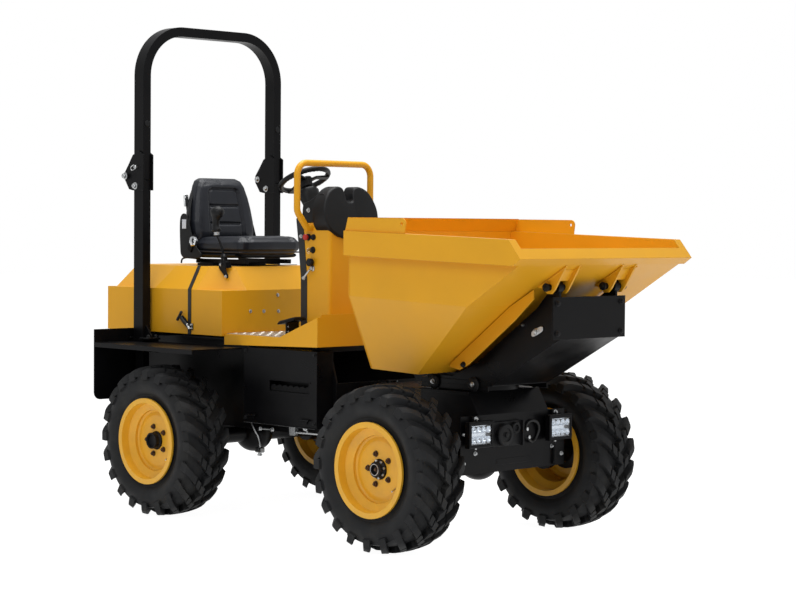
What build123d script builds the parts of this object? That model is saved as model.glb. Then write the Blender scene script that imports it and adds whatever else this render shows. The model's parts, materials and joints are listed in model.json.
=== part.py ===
"""One-tonne articulated site dumper with a swivel skip.

Millimetres. +X points forward, towards the skip, +Y to the driver's left and +Z up.
The origin is on the ground, midway along, across the middle of the machine.
The rear frame carries the engine, the driver and the folding roll hoop; the front frame
carries the slewing frame and the tipping skip; the two meet at a vertical hinge.
"""
import os
from math import cos, hypot, radians, sin

from build123d import *

os.makedirs("parts", exist_ok=True)

# ---------------------------------------------------------------- driving dimensions
overall_length = 3080
wheelbase = 1574
rear_overhang = 743            # rear axle to the back of the chassis
track = 1164
tyre_diameter = 744
tyre_width = 264
roll_hoop_height = 2454

fit = 0.05                     # radial running clearance of a pin in its bore
face_gap = 0.3                 # between faces that slide on each other
sheet = 4                      # bodywork sheet
plate = 10                     # chassis plate

# stations along the machine
chassis_rear_x = -overall_length / 2
rear_axle_x = chassis_rear_x + rear_overhang
front_axle_x = rear_axle_x + wheelbase
axle_z = tyre_diameter / 2

# wheels
rim_flange_radius = 211.5
rim_width = 250
bead_seat_radius = 194
disc_radius = 150
disc_offset = 52               # outer face of the disc, outboard of the wheel centre
rim_sheet = 7
wheel_bolt_circle = 140
wheel_bolt_count = 5
wheel_bolt_radius = 7
hub_bore_radius = 46
hub_flange_radius = 92
hub_flange_thickness = 14
hub_body_radius = 62
spindle_radius = 30
axle_tube_radius = 45
hub_inner_y = 105              # inner end of the hub, inboard of the wheel centre

# rear frame levels and widths
deck_z = 880                   # top of the rear chassis, under the hood
rear_rail_y = 270              # outer face of the chassis side plates
rear_rail_bottom_z = 430
rear_tail_y = 385
cowl_half_width = 400
cowl_front_x = rear_axle_x + 217
cowl_rear_x = chassis_rear_x + 30
cowl_bottom_z = deck_z + 8
shoulder_z = 1112
cowl_top_z = 1228
seam_x = rear_axle_x - 33      # hood seam
seam_lean = 17                 # above the shoulder the seam leans back this much
seal_width = 24
hood_hinge_x = cowl_rear_x - 12
hood_hinge_z = cowl_bottom_z + 4
hinge_ys = (-250, 250)
louvre_count = 6
louvre_pitch = 27
louvre_height = 12
louvre_half_width = 170
engine_rear_x = cowl_rear_x + 90
engine_front_x = rear_axle_x - 90

# floor and console
floor_z = 900
floor_front_x = rear_axle_x + 897
floor_half_width = 385
footwell_top_z = 1018
console_rear_x = rear_axle_x + 537
console_front_x = rear_axle_x + 727
console_half_width = 150

# articulation
pivot_x = 210
pivot_pin_radius = 28
pivot_low_z = 425
pivot_high_z = 640

# roll hoop
hoop_x = rear_axle_x - 367
hoop_y = 443
hoop_depth = 75                # tube size fore and aft
hoop_width = 48                # tube size across
hoop_bend = 260
fold_x = hoop_x - 86
fold_z = 1682
fold_joint_z = 1660            # the upper hoop starts here
fold_pin_radius = 10

# front frame, slewing frame and skip
front_top_z = 700
front_rail_y = 235
slew_x = front_axle_x
slew_post_radius = 70
slew_ring_radius = 185
slew_base_z = 728
tip_x = front_axle_x + 628
tip_z = 1180
tip_pin_radius = 15
tip_side_y = 190
skip_half_width = 580
skip_body_half_width = 540
skip_floor_half_width = 400
skip_rear_x = front_axle_x - 300
skip_floor_front_x = front_axle_x + 3
skip_belly_x = front_axle_x + 428        # the belly turns up towards the lip here
skip_lip_x = front_axle_x + 763
skip_floor_z = 782
skip_belly_z = 1096
skip_crease_z = 1122           # where the sides start to taper, at the rear
skip_band_z = 1305             # lower edge of the boxed rim, at the rear
skip_rim_z = 1416
skip_lip_z = 1305
skip_sheet = 5
ram_base_x = front_axle_x + 608
ram_base_z = 1040
ram_rod_x = front_axle_x + 116
ram_rod_z = 795
ram_pin_radius = 14
rod_pin_radius = 11            # the pins in the open rod eyes
eye_play = 17                  # room for the eye to drift round its pin


def add_plate(outline, y, thickness, mode=Mode.ADD):
    """Add to the open part a plate standing fore and aft, centred at y, from its side outline."""
    with BuildSketch(Plane.XZ.offset(-y)) as face:
        with BuildLine():
            Polyline(*outline, close=True)
        make_face()
    extrude(face.sketch, amount=thickness / 2, both=True, mode=mode)


def add_box(x0, x1, y0, y1, z0, z1, mode=Mode.ADD):
    """Add to the open part a box given by its limits."""
    with Locations(((x0 + x1) / 2, (y0 + y1) / 2, (z0 + z1) / 2)):
        Box(abs(x1 - x0), abs(y1 - y0), abs(z1 - z0), mode=mode)


def add_pin(x, z, radius, y0, y1, mode=Mode.ADD):
    """Add to the open part a cylinder lying across the machine from y0 to y1."""
    with BuildSketch(Plane.XZ.offset(-y0)) as face:
        with Locations((x, z)):
            Circle(radius)
    extrude(face.sketch, amount=-(y1 - y0), mode=mode)


def add_post(x, y, radius, z0, z1, mode=Mode.ADD):
    """Add to the open part an upright cylinder."""
    with BuildSketch(Plane.XY.offset(z0)) as face:
        with Locations((x, y)):
            Circle(radius)
    extrude(face.sketch, amount=z1 - z0, mode=mode)


# ---------------------------------------------------------------- wheels
corners = (                    # name, axle station, side
    ("rear_right", rear_axle_x, -1),
    ("rear_left", rear_axle_x, 1),
    ("front_right", front_axle_x, -1),
    ("front_left", front_axle_x, 1),
)
half_rim = rim_width / 2
half_tyre = tyre_width / 2
tyre_radius = tyre_diameter / 2
bead_gap = 0.3
shoulder_radius = tyre_radius - 8
carcass = 16

for corner, axle_x, side in corners:
    wheel_y = side * track / 2
    # the wheel's own plane: local x outboard, local y away from the axle line
    section = Plane(origin=(axle_x, wheel_y, axle_z), x_dir=(0, side, 0), z_dir=(side, 0, 0))
    turning = Axis((axle_x, wheel_y, axle_z), (0, 1, 0))

    with BuildPart() as tyre:
        with BuildSketch(section):
            with BuildLine():
                crown = ThreePointArc((-112, shoulder_radius), (0, tyre_radius), (112, shoulder_radius))
                outer_wall = ThreePointArc(crown @ 1, (half_tyre, 292), (half_rim - 14, rim_flange_radius + 3))
                outer_bead = Line(outer_wall @ 1, (half_rim - 12, bead_seat_radius + bead_gap))
                outer_toe = Line(outer_bead @ 1, (half_rim - 34, bead_seat_radius + bead_gap))
                inner_out = Line(outer_toe @ 1, (half_tyre - carcass, 288))
                crown_out = Line(inner_out @ 1, (98, tyre_radius - 22))
                crown_in = Line(crown_out @ 1, (-98, tyre_radius - 22))
                inner_in = Line(crown_in @ 1, (-half_tyre + carcass, 288))
                inner_toe = Line(inner_in @ 1, (-half_rim + 34, bead_seat_radius + bead_gap))
                inner_bead = Line(inner_toe @ 1, (-half_rim + 12, bead_seat_radius + bead_gap))
                bead_up = Line(inner_bead @ 1, (-half_rim + 14, rim_flange_radius + 3))
                inner_wall = ThreePointArc(bead_up @ 1, (-half_tyre, 292), crown @ 0)
            make_face()
        revolve(axis=turning)
    tyre.part.label = f"tyre_{corner}"
    export_step(tyre.part, f"parts/tyre_{corner}.step")

    with BuildPart() as wheel_rim:
        with BuildSketch(section):
            with BuildLine():
                # drop-centre rim: flange, bead seat, well with the dished disc at its floor
                Polyline(
                    (half_rim, rim_flange_radius), (half_rim - 11, rim_flange_radius),
                    (half_rim - 11, bead_seat_radius), (half_rim - 45, bead_seat_radius - 4),
                    (half_rim - 62, disc_radius + rim_sheet), (-half_rim + 75, disc_radius + rim_sheet),
                    (-half_rim + 55, bead_seat_radius - 4), (-half_rim + 11, bead_seat_radius),
                    (-half_rim + 11, rim_flange_radius), (-half_rim, rim_flange_radius),
                    (-half_rim, bead_seat_radius - rim_sheet), (-half_rim + 50, bead_seat_radius - 11),
                    (-half_rim + 70, disc_radius), (disc_offset - rim_sheet - 3, disc_radius),
                    (disc_offset - rim_sheet - 12, disc_radius - 14),
                    (disc_offset - rim_sheet, disc_radius - 30),
                    (disc_offset - rim_sheet, hub_bore_radius), (disc_offset, hub_bore_radius),
                    (disc_offset, disc_radius - 26), (disc_offset - 4, disc_radius - 9),
                    (disc_offset + 2, disc_radius), (half_rim - 57, disc_radius),
                    (half_rim - 40, bead_seat_radius - 11), (half_rim, bead_seat_radius - rim_sheet),
                    close=True,
                )
            make_face()
        revolve(axis=turning)
        with Locations(Plane(origin=(axle_x, wheel_y, axle_z), x_dir=(-1, 0, 0), z_dir=(0, side, 0))):
            with PolarLocations(wheel_bolt_circle / 2, wheel_bolt_count):
                Hole(wheel_bolt_radius + 1, depth=200)
    wheel_rim.part.label = f"wheel_rim_{corner}"
    export_step(wheel_rim.part, f"parts/wheel_rim_{corner}.step")

    with BuildPart() as hub:
        with BuildSketch(section):
            flange_out = disc_offset - rim_sheet - face_gap
            with BuildLine():
                Polyline(
                    (disc_offset + 16, 0), (disc_offset + 16, hub_bore_radius - 12),
                    (disc_offset + 6, hub_bore_radius - 2), (flange_out, hub_bore_radius - 2),
                    (flange_out, hub_flange_radius), (flange_out - hub_flange_thickness, hub_flange_radius),
                    (flange_out - hub_flange_thickness - 16, hub_body_radius),
                    (-hub_inner_y, hub_body_radius), (-hub_inner_y, spindle_radius + fit),
                    (-20, spindle_radius + fit), (-20, 0),
                    close=True,
                )
            make_face()
        revolve(axis=turning)
        with Locations(Plane(origin=(axle_x, wheel_y + side * flange_out, axle_z), x_dir=(-1, 0, 0),
                             z_dir=(0, side, 0))):
            with PolarLocations(wheel_bolt_circle / 2, wheel_bolt_count):
                Cylinder(wheel_bolt_radius, rim_sheet + 14, align=(Align.CENTER, Align.CENTER, Align.MIN))
    hub.part.label = f"hub_{corner}"
    export_step(hub.part, f"parts/hub_{corner}.step")

for name, axle_x in (("rear", rear_axle_x), ("front", front_axle_x)):
    spindle_end = track / 2 - 20 - 2
    shoulder = track / 2 - hub_inner_y - face_gap
    with BuildPart() as axle:
        add_pin(axle_x, axle_z, axle_tube_radius, -shoulder, shoulder)
        add_pin(axle_x, axle_z, spindle_radius, -spindle_end, spindle_end)
        for side in (-1, 1):
            # drive motor flange and housing on each end of the beam
            add_pin(axle_x, axle_z, 82, side * (shoulder - 28), side * shoulder)
            add_pin(axle_x, axle_z, 66, side * (shoulder - 120), side * (shoulder - 28))
        with Locations((axle_x, 0, axle_z)):
            Sphere(98)
        add_box(axle_x - 150, axle_x + 20, -46, 46, axle_z - 46, axle_z + 46)
    axle.part.label = f"{name}_axle"
    export_step(axle.part, f"parts/{name}_axle.step")

# ---------------------------------------------------------------- rear chassis
mud_plate_x = rear_axle_x - 424
fender_z = 838
fender_outer_y = 700
fender_sheet = 6
fender_front_x = rear_axle_x + 353
step_box_rear_x = rear_axle_x + 357
step_box_front_x = rear_axle_x + 884
step_box_outer_y = 375
step_box_bottom_z = 475

tow_x = chassis_rear_x + 28
tow_bore_radius = 13

with BuildPart() as rear_chassis:
    rail = (
        (chassis_rear_x, deck_z), (chassis_rear_x, 560), (chassis_rear_x + 60, 500),
        (rear_axle_x - 210, rear_rail_bottom_z), (rear_axle_x - 120, axle_z + 60),
        (rear_axle_x + 120, axle_z + 60), (rear_axle_x + 210, rear_rail_bottom_z),
        (pivot_x - 130, rear_rail_bottom_z), (pivot_x - 100, rear_rail_bottom_z + 30),
        (pivot_x - 100, 690), (floor_front_x - 40, 846), (cowl_front_x, 846), (cowl_front_x, deck_z),
    )
    for side in (-1, 1):
        add_plate(rail, side * (rear_rail_y - plate / 2), plate)
    # deck, tail plate and the cross plates that tie the sides together
    add_box(chassis_rear_x, cowl_front_x, -rear_rail_y, rear_rail_y, deck_z - plate, deck_z)
    add_box(chassis_rear_x, chassis_rear_x + 40, -rear_tail_y, rear_tail_y, 560, deck_z)
    add_box(chassis_rear_x, hoop_x + 120, -rear_tail_y, rear_tail_y, deck_z - plate, deck_z)
    add_box(seam_x - 60, cowl_front_x, -rear_tail_y, rear_tail_y, deck_z - plate, deck_z)
    add_box(engine_rear_x - 30, engine_front_x + 30, -230, 230, deck_z - plate, deck_z, Mode.SUBTRACT)
    add_box(rear_axle_x + 215, rear_axle_x + 225, -rear_rail_y, rear_rail_y, 450, 846)
    add_box(pivot_x - 110, pivot_x - 100, -rear_rail_y, rear_rail_y, rear_rail_bottom_z + 30, 690)
    # cross members that carry the floor
    for x in (cowl_front_x + 60, floor_front_x - 160):
        add_box(x, x + 50, -rear_rail_y, rear_rail_y, 830, floor_z - sheet - face_gap)
    # window that the steering ram swings in
    add_box(pivot_x - 111, pivot_x - 99, -245, -98, 515, 605, Mode.SUBTRACT)
    # engine sump guard with its opening for the axle
    add_box(chassis_rear_x + 60, rear_axle_x - 210, -rear_rail_y, rear_rail_y, 500, 506)
    # tow jaw under the tail plate
    for level in (500, 560):
        add_box(chassis_rear_x, chassis_rear_x + 100, -45, 45, level, level + 12)
    add_post(tow_x, 0, tow_bore_radius, 490, 572, Mode.SUBTRACT)
    # saddle that clamps the axle beam
    for side in (-1, 1):
        add_box(rear_axle_x - 70, rear_axle_x + 70, side * 150, side * rear_rail_y,
                axle_z + axle_tube_radius + 0.01, axle_z + 80)
    # outriggers under the roll hoop feet
    for side in (-1, 1):
        add_box(hoop_x - 52, hoop_x + 52, side * (rear_tail_y - 10), side * rear_tail_y, 780, deck_z)
        add_box(hoop_x - 52, hoop_x + 52, side * (rear_tail_y - 1), side * (hoop_y + hoop_width / 2 + 8),
                fender_z, fender_z + 12)
        # stay that carries each foot down past the fender, and its tie to the chassis side
        add_box(hoop_x - 30, hoop_x + 30, side * (hoop_y - 24), side * (hoop_y + 16),
                640, fender_z - fender_sheet - face_gap)
        add_box(hoop_x - 30, hoop_x + 30, side * (rear_rail_y - 1), side * (hoop_y - 23), 640, 670)
    # hinge brackets and pins for the hood
    for y in hinge_ys:
        for edge in (-40, 40):
            add_box(hood_hinge_x - 14, hood_hinge_x + 4, y + edge - 5, y + edge + 5,
                    deck_z, hood_hinge_z + 8)
        add_pin(hood_hinge_x, hood_hinge_z, 5, y - 44, y + 44)
rear_chassis.part.label = "rear_chassis"
export_step(rear_chassis.part, "parts/rear_chassis.step")

with BuildPart() as rear_fenders:
    for side in (-1, 1):
        # flat wing over the tyre, its front edge raked back towards the floor
        with BuildSketch(Plane.XY.offset(fender_z - fender_sheet)) as wing:
            with BuildLine():
                Polyline(
                    (mud_plate_x, side * (rear_tail_y + 1)), (mud_plate_x, side * fender_outer_y),
                    (fender_front_x, side * fender_outer_y), (step_box_rear_x, side * (rear_tail_y + 1)),
                    close=True,
                )
            make_face()
        extrude(wing.sketch, amount=fender_sheet)
        # turned-down outer lip
        add_box(mud_plate_x, fender_front_x, side * (fender_outer_y - fender_sheet),
                side * fender_outer_y, fender_z - 22, fender_z)
        # mud plate behind the tyre, with rounded outer corners
        with BuildSketch(Plane.YZ.offset(mud_plate_x)) as flap:
            with BuildLine():
                Polyline(
                    (side * (cowl_half_width + 8), 905), (side * fender_outer_y, 905),
                    (side * fender_outer_y, 548), (side * (cowl_half_width + 8), 548), close=True,
                )
            make_face()
            outer = flap.vertices().sort_by(Axis.Y)[-2:] if side > 0 else flap.vertices().sort_by(Axis.Y)[:2]
            fillet(outer, 38)
        extrude(flap.sketch, amount=-fender_sheet)
rear_fenders.part.label = "rear_fenders"
export_step(rear_fenders.part, "parts/rear_fenders.step")

with BuildPart() as engine_block:
    add_box(engine_rear_x, engine_front_x, -200, 200, 530, 1090)
    # feet that reach out to the chassis sides
    for x in (engine_rear_x + 60, engine_front_x - 120):
        foot_y = rear_rail_y - plate - face_gap
        add_box(x, x + 60, -foot_y, foot_y, 640, 664)
engine_block.part.label = "engine_block"
export_step(engine_block.part, "parts/engine_block.step")

# ---------------------------------------------------------------- hood and seat cowl
cowl_planes = (                # a point on the sloped face and its outward normal
    ((0, cowl_half_width, shoulder_z), (0, 116, 75)),
    ((0, -cowl_half_width, shoulder_z), (0, -116, 75)),
    ((cowl_rear_x, 0, shoulder_z), (-116, 0, 80)),
    ((cowl_front_x, 0, shoulder_z), (116, 0, 85)),
    ((cowl_front_x - 200, cowl_half_width, shoulder_z), (160, 200, 110)),
    ((cowl_front_x - 200, -cowl_half_width, shoulder_z), (160, -200, 110)),
    ((cowl_rear_x + 400, cowl_half_width, shoulder_z), (-60, 400, 300)),
    ((cowl_rear_x + 400, -cowl_half_width, shoulder_z), (-60, -400, 300)),
)


def add_cowl(inset, mode):
    """Add the whole cowl, hood and seat box in one, every face moved in by inset."""
    add_box(cowl_rear_x + inset, cowl_front_x - inset, -cowl_half_width + inset, cowl_half_width - inset,
            cowl_bottom_z - (1 if inset else 0), shoulder_z - inset, mode)
    crown = Pos((cowl_rear_x + cowl_front_x) / 2, 0, (shoulder_z - inset + cowl_top_z - inset) / 2) * Box(
        cowl_front_x - cowl_rear_x - 2 * inset, 2 * (cowl_half_width - inset), cowl_top_z - shoulder_z,
        mode=Mode.PRIVATE)
    for point, normal in cowl_planes:
        face = Plane(origin=point, z_dir=normal).offset(-inset)
        crown = split(crown, bisect_by=face, keep=Keep.BOTTOM, mode=Mode.PRIVATE)
    add(crown, mode=mode)


def keep_one_side(shift, far_x):
    """Keep of the open part what lies between the hood seam, moved forward by shift, and far_x."""
    seam = seam_x + shift
    add_plate(
        (
            (seam, deck_z), (seam, shoulder_z), (seam - seam_lean, cowl_top_z + 10),
            (far_x, cowl_top_z + 10), (far_x, deck_z),
        ),
        0, 2 * cowl_half_width + 20, Mode.INTERSECT,
    )


with BuildPart() as engine_hood:
    add_cowl(0, Mode.ADD)
    add_cowl(sheet, Mode.SUBTRACT)
    keep_one_side(-seal_width / 2 - face_gap, cowl_rear_x - 10)
    # hinge knuckles at the tail
    for y in hinge_ys:
        add_pin(hood_hinge_x, hood_hinge_z, 9, y - 30, y + 30)
        add_box(hood_hinge_x, cowl_rear_x + sheet, y - 30, y + 30, hood_hinge_z + 3, hood_hinge_z + 60)
        add_pin(hood_hinge_x, hood_hinge_z, 5 + fit, y - 31, y + 31, Mode.SUBTRACT)
    # louvres in the tail, behind the radiator
    for row in range(louvre_count):
        louvre_z = hood_hinge_z + 40 + louvre_pitch * row
        add_box(cowl_rear_x - 1, cowl_rear_x + sheet + 1, -louvre_half_width, louvre_half_width,
                louvre_z, louvre_z + louvre_height, Mode.SUBTRACT)
engine_hood.part.label = "engine_hood"
export_step(engine_hood.part, "parts/engine_hood.step")

with BuildPart() as seat_cowl:
    add_cowl(0, Mode.ADD)
    add_cowl(sheet, Mode.SUBTRACT)
    keep_one_side(seal_width / 2, cowl_front_x + 10)
seat_cowl.part.label = "seat_cowl"
export_step(seat_cowl.part, "parts/seat_cowl.step")

with BuildPart() as hood_seal:
    add_cowl(-3, Mode.ADD)
    add_cowl(sheet + 6, Mode.SUBTRACT)
    keep_one_side(-seal_width / 2, cowl_front_x + 10)
    keep_one_side(seal_width / 2, cowl_rear_x - 10)
hood_seal.part.label = "hood_seal"
export_step(hood_seal.part, "parts/hood_seal.step")

# ---------------------------------------------------------------- seat
seat_floor_z = cowl_top_z + 34
seat_rear_x = rear_axle_x - 343
seat_front_x = rear_axle_x + 137
seat_half_width = 220
cushion_top_z = 1378
backrest_top_z = 1690
backrest_front_x = rear_axle_x - 238

with BuildPart() as seat_base:
    # pedestal bolted to the hood, with the two slide rails on it
    add_box(seat_rear_x + 100, seam_x - 85, -180, 180, cowl_top_z, cowl_top_z + 12)
    for side in (-1, 1):
        add_box(seat_rear_x + 60, seat_front_x - 30, side * 130, side * 155, cowl_top_z + 12, seat_floor_z)
    # lever that frees the slides
    add_pin(seat_rear_x + 130, cowl_top_z + 22, 5, -seat_half_width + 10, -130)
seat_base.part.label = "seat_base"
export_step(seat_base.part, "parts/seat_base.step")



def trim_to_seat_outline(margin):
    """Keep of the open part what lies inside the seat as seen from the front, margin outside the padding."""
    half = seat_half_width - 10 + margin
    top = backrest_top_z + margin
    with BuildSketch(Plane.YZ.offset(seat_rear_x - 5)) as face:
        with BuildLine():
            Polyline(
                (-half, seat_floor_z - 2), (half, seat_floor_z - 2), (half, cushion_top_z + 62),
                (half - 62, top - 42), (half - 96, top), (-half + 96, top), (-half + 62, top - 42),
                (-half, cushion_top_z + 62), close=True,
            )
        make_face()
        fillet(face.vertices(), 14)
    extrude(face.sketch, amount=seat_front_x - seat_rear_x + 10, mode=Mode.INTERSECT)


with BuildPart() as seat_shell:
    add_plate(
        (
            (seat_rear_x + 18, seat_floor_z), (seat_front_x - 12, seat_floor_z),
            (seat_front_x - 4, seat_floor_z + 22), (seat_front_x - 30, seat_floor_z + 30),
            (backrest_front_x - 20, seat_floor_z + 30), (backrest_front_x - 55, seat_floor_z + 90),
            (backrest_front_x - 62, backrest_top_z - 60), (seat_rear_x + 26, backrest_top_z - 40),
            (seat_rear_x, backrest_top_z - 130), (seat_rear_x, seat_floor_z + 60),
        ),
        0, 2 * seat_half_width,
    )
    fillet(seat_shell.edges().filter_by(Axis.Y).sort_by(Axis.X)[:2], 20)
    trim_to_seat_outline(10)
seat_shell.part.label = "seat_shell"
export_step(seat_shell.part, "parts/seat_shell.step")

with BuildPart() as seat_cushion:
    add_plate(
        (
            (backrest_front_x - 14, seat_floor_z + 30 + face_gap),
            (seat_front_x - 24, seat_floor_z + 30 + face_gap),
            (seat_front_x, seat_floor_z + 60), (seat_front_x - 6, cushion_top_z - 18),
            (seat_front_x - 60, cushion_top_z), (backrest_front_x + 4, cushion_top_z - 12),
        ),
        0, 2 * seat_half_width - 4,
    )
    fillet(seat_cushion.edges().filter_by(Axis.Y).sort_by(Axis.Z)[-3:], 14)
seat_cushion.part.label = "seat_cushion"
export_step(seat_cushion.part, "parts/seat_cushion.step")

with BuildPart() as seat_back:
    add_plate(
        (
            (backrest_front_x - 54 + face_gap, cushion_top_z - 8), (backrest_front_x + 4, cushion_top_z - 8),
            (backrest_front_x + 6, cushion_top_z + 120), (backrest_front_x - 14, backrest_top_z - 20),
            (backrest_front_x - 60, backrest_top_z), (backrest_front_x - 62 + face_gap, backrest_top_z - 58),
        ),
        0, 2 * seat_half_width - 20,
    )
    trim_to_seat_outline(0)
seat_back.part.label = "seat_back"
export_step(seat_back.part, "parts/seat_back.step")

# ---------------------------------------------------------------- floor, footwell and steps
pan_rear_x = cowl_front_x + 2
with BuildPart() as floor_pan:
    coaming = (
        (pan_rear_x, floor_z - 54), (floor_front_x, floor_z - 36), (floor_front_x, footwell_top_z - 12),
        (floor_front_x - 75, 976), (floor_front_x - 270, floor_z), (pan_rear_x, floor_z),
    )
    for side in (-1, 1):
        add_plate(coaming, side * (floor_half_width - sheet / 2), sheet)
    add_box(pan_rear_x, floor_front_x, -floor_half_width, floor_half_width, floor_z - sheet, floor_z)
    add_box(floor_front_x - sheet, floor_front_x, -floor_half_width, floor_half_width,
            floor_z - 36, footwell_top_z - 12)
    add_box(floor_front_x - sheet, floor_front_x, -floor_half_width + 24, floor_half_width - 24,
            footwell_top_z - 13, footwell_top_z)
floor_pan.part.label = "floor_pan"
export_step(floor_pan.part, "parts/floor_pan.step")

with BuildPart() as tread_plate:
    add_box(pan_rear_x + 8, floor_front_x - 60, -floor_half_width + 10, floor_half_width - 10,
            floor_z, floor_z + 3)
tread_plate.part.label = "tread_plate"
export_step(tread_plate.part, "parts/tread_plate.step")

with BuildPart() as step_boxes:
    for side in (-1, 1):
        add_box(step_box_rear_x, step_box_front_x, side * (rear_rail_y + face_gap), side * step_box_outer_y,
                step_box_bottom_z, floor_z - 58)
        # stamped toe hole
        add_box(step_box_rear_x + 190, step_box_rear_x + 470, side * (step_box_outer_y - 60),
                side * step_box_outer_y, 640, 690, Mode.SUBTRACT)
step_boxes.part.label = "step_boxes"
export_step(step_boxes.part, "parts/step_boxes.step")

# ---------------------------------------------------------------- console
console_foot_z = floor_z + 3
wheel_hub_x = rear_axle_x + 380
wheel_hub_z = 1660
column_lean = 26
column_dir = (-sin(radians(column_lean)), 0, cos(radians(column_lean)))
hub_plane = Plane(origin=(wheel_hub_x, 0, wheel_hub_z), x_dir=(0, 1, 0), z_dir=column_dir)
steering_radius = 136
steering_grip = 13
column_radius = 34
column_foot = -430             # lower end of the steering column, along its own axis


def bore_for_column():
    """Cut from the open part the hole that the steering column stands in."""
    with BuildSketch(hub_plane.offset(column_foot - 2)) as hole:
        Circle(column_radius + face_gap)
    extrude(hole.sketch, amount=-column_foot, mode=Mode.SUBTRACT)


console_shoulder_z = 1450
with BuildPart() as console_column:
    add_plate(
        (
            (console_rear_x + 25, console_foot_z), (console_front_x, console_foot_z),
            (console_front_x, console_shoulder_z), (console_rear_x, console_shoulder_z),
        ),
        0, 2 * console_half_width,
    )
    fillet(console_column.edges().filter_by(Axis.Z).sort_by(Axis.X)[-2:], 18)
    bore_for_column()
console_column.part.label = "console_column"
export_step(console_column.part, "parts/console_column.step")

with BuildPart() as console_back:
    add_plate(
        (
            (console_rear_x + 25 - 0.3, console_foot_z), (console_rear_x - 0.3, console_shoulder_z),
            (console_rear_x - 30, console_shoulder_z + 30), (console_rear_x - 28, 1330),
            (console_rear_x - 4, 1180), (console_rear_x, console_foot_z),
        ),
        0, 2 * console_half_width - 10,
    )
    bore_for_column()
console_back.part.label = "console_back"
export_step(console_back.part, "parts/console_back.step")

shroud_rear_x = console_rear_x + 92
shroud_front_x = console_front_x + 22
shroud_half_width = 180
with BuildPart() as dash_shroud:
    with BuildSketch(Plane.YZ.offset(shroud_rear_x)) as face:
        with BuildLine():
            Polyline(
                (-60, 1372), (60, 1372), (150, 1425), (shroud_half_width, 1490), (shroud_half_width, 1545),
                (140, 1605), (80, 1628), (30, 1628), (22, 1590), (-22, 1590), (-30, 1628), (-80, 1628),
                (-140, 1605), (-shroud_half_width, 1545), (-shroud_half_width, 1490), (-150, 1425),
                close=True,
            )
        make_face()
        fillet(face.vertices().filter_by(lambda v: abs(v.X) > 35), 24)
    extrude(face.sketch, amount=shroud_front_x - shroud_rear_x)
    fillet(dash_shroud.faces().sort_by(Axis.X)[-1].edges(), 8)
    # instrument housing between the shroud and the steering column
    add_plate(
        (
            (shroud_rear_x, console_shoulder_z + face_gap), (console_rear_x + 1, console_shoulder_z + face_gap),
            (console_rear_x - 24, console_shoulder_z + 40), (console_rear_x - 18, console_shoulder_z + 96),
            (shroud_rear_x, console_shoulder_z + 128),
        ),
        0, 2 * (console_half_width - 6),
    )
    # it sleeves over the top of the column
    add_box(console_rear_x - 1, console_front_x + face_gap, -console_half_width - face_gap,
            console_half_width + face_gap, 1360, console_shoulder_z + face_gap, Mode.SUBTRACT)
    bore_for_column()
dash_shroud.part.label = "dash_shroud"
export_step(dash_shroud.part, "parts/dash_shroud.step")

hoop_tube_radius = 16
grab_x = console_rear_x + 58
grab_half_width = 262 - hoop_tube_radius
grab_top_z = 1757 - hoop_tube_radius
grab_foot_y = console_half_width + face_gap
with BuildPart() as grab_hoop:
    with BuildLine(Plane.YZ.offset(grab_x)) as rail:
        FilletPolyline(
            (-grab_foot_y, 1424), (-grab_foot_y - 30, 1424), (-grab_half_width, 1505),
            (-grab_half_width, grab_top_z), (grab_half_width, grab_top_z), (grab_half_width, 1505),
            (grab_foot_y + 30, 1424), (grab_foot_y, 1424),
            radius=(22, 50, 60, 60, 50, 22),
        )
    with BuildSketch(Plane(origin=rail.wire() @ 0, z_dir=rail.wire() % 0)):
        Circle(hoop_tube_radius)
    sweep(path=rail.wire())
grab_hoop.part.label = "grab_hoop"
export_step(grab_hoop.part, "parts/grab_hoop.step")

# steering column, leaning back towards the driver
with BuildPart() as steering_column:
    with BuildSketch(hub_plane.offset(column_foot)):
        Circle(column_radius)
    extrude(amount=-column_foot - 70)
    with BuildSketch(hub_plane.offset(-70)):
        Circle(12)
    extrude(amount=30)
steering_column.part.label = "steering_column"
export_step(steering_column.part, "parts/steering_column.step")

with BuildPart() as steering_wheel:
    with BuildSketch(hub_plane.offset(-40 + face_gap)):
        Circle(30)
    extrude(amount=46)
    with BuildSketch(Plane(origin=hub_plane.from_local_coords((steering_radius - steering_grip, 0, 6)),
                           x_dir=hub_plane.x_dir, z_dir=hub_plane.y_dir)):
        Circle(steering_grip)
    revolve(axis=Axis(hub_plane.origin, hub_plane.z_dir))
    with Locations(hub_plane):
        with PolarLocations(0, 3, 90):
            with Locations((steering_radius / 2 - 4, 0, -2)):
                Box(steering_radius - 18, 26, 9)
steering_wheel.part.label = "steering_wheel"
export_step(steering_wheel.part, "parts/steering_wheel.step")

with BuildPart() as control_lever:
    foot = (rear_axle_x + 47, -275, cowl_top_z + 20)
    knob = (rear_axle_x + 12, -290, 1490)
    with BuildLine() as stick:
        Line(foot, knob)
    with BuildSketch(Plane(origin=foot, z_dir=stick.line % 0)):
        Circle(7)
    sweep(path=stick.line)
    with BuildSketch(Plane(origin=knob, z_dir=stick.line % 1).offset(-60)):
        Circle(17)
    extrude(amount=75)
    add_box(foot[0] - 18, foot[0] + 18, foot[1] - 18, foot[1] + 18, cowl_top_z + face_gap, foot[2] + 10)
control_lever.part.label = "control_lever"
export_step(control_lever.part, "parts/control_lever.step")

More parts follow.
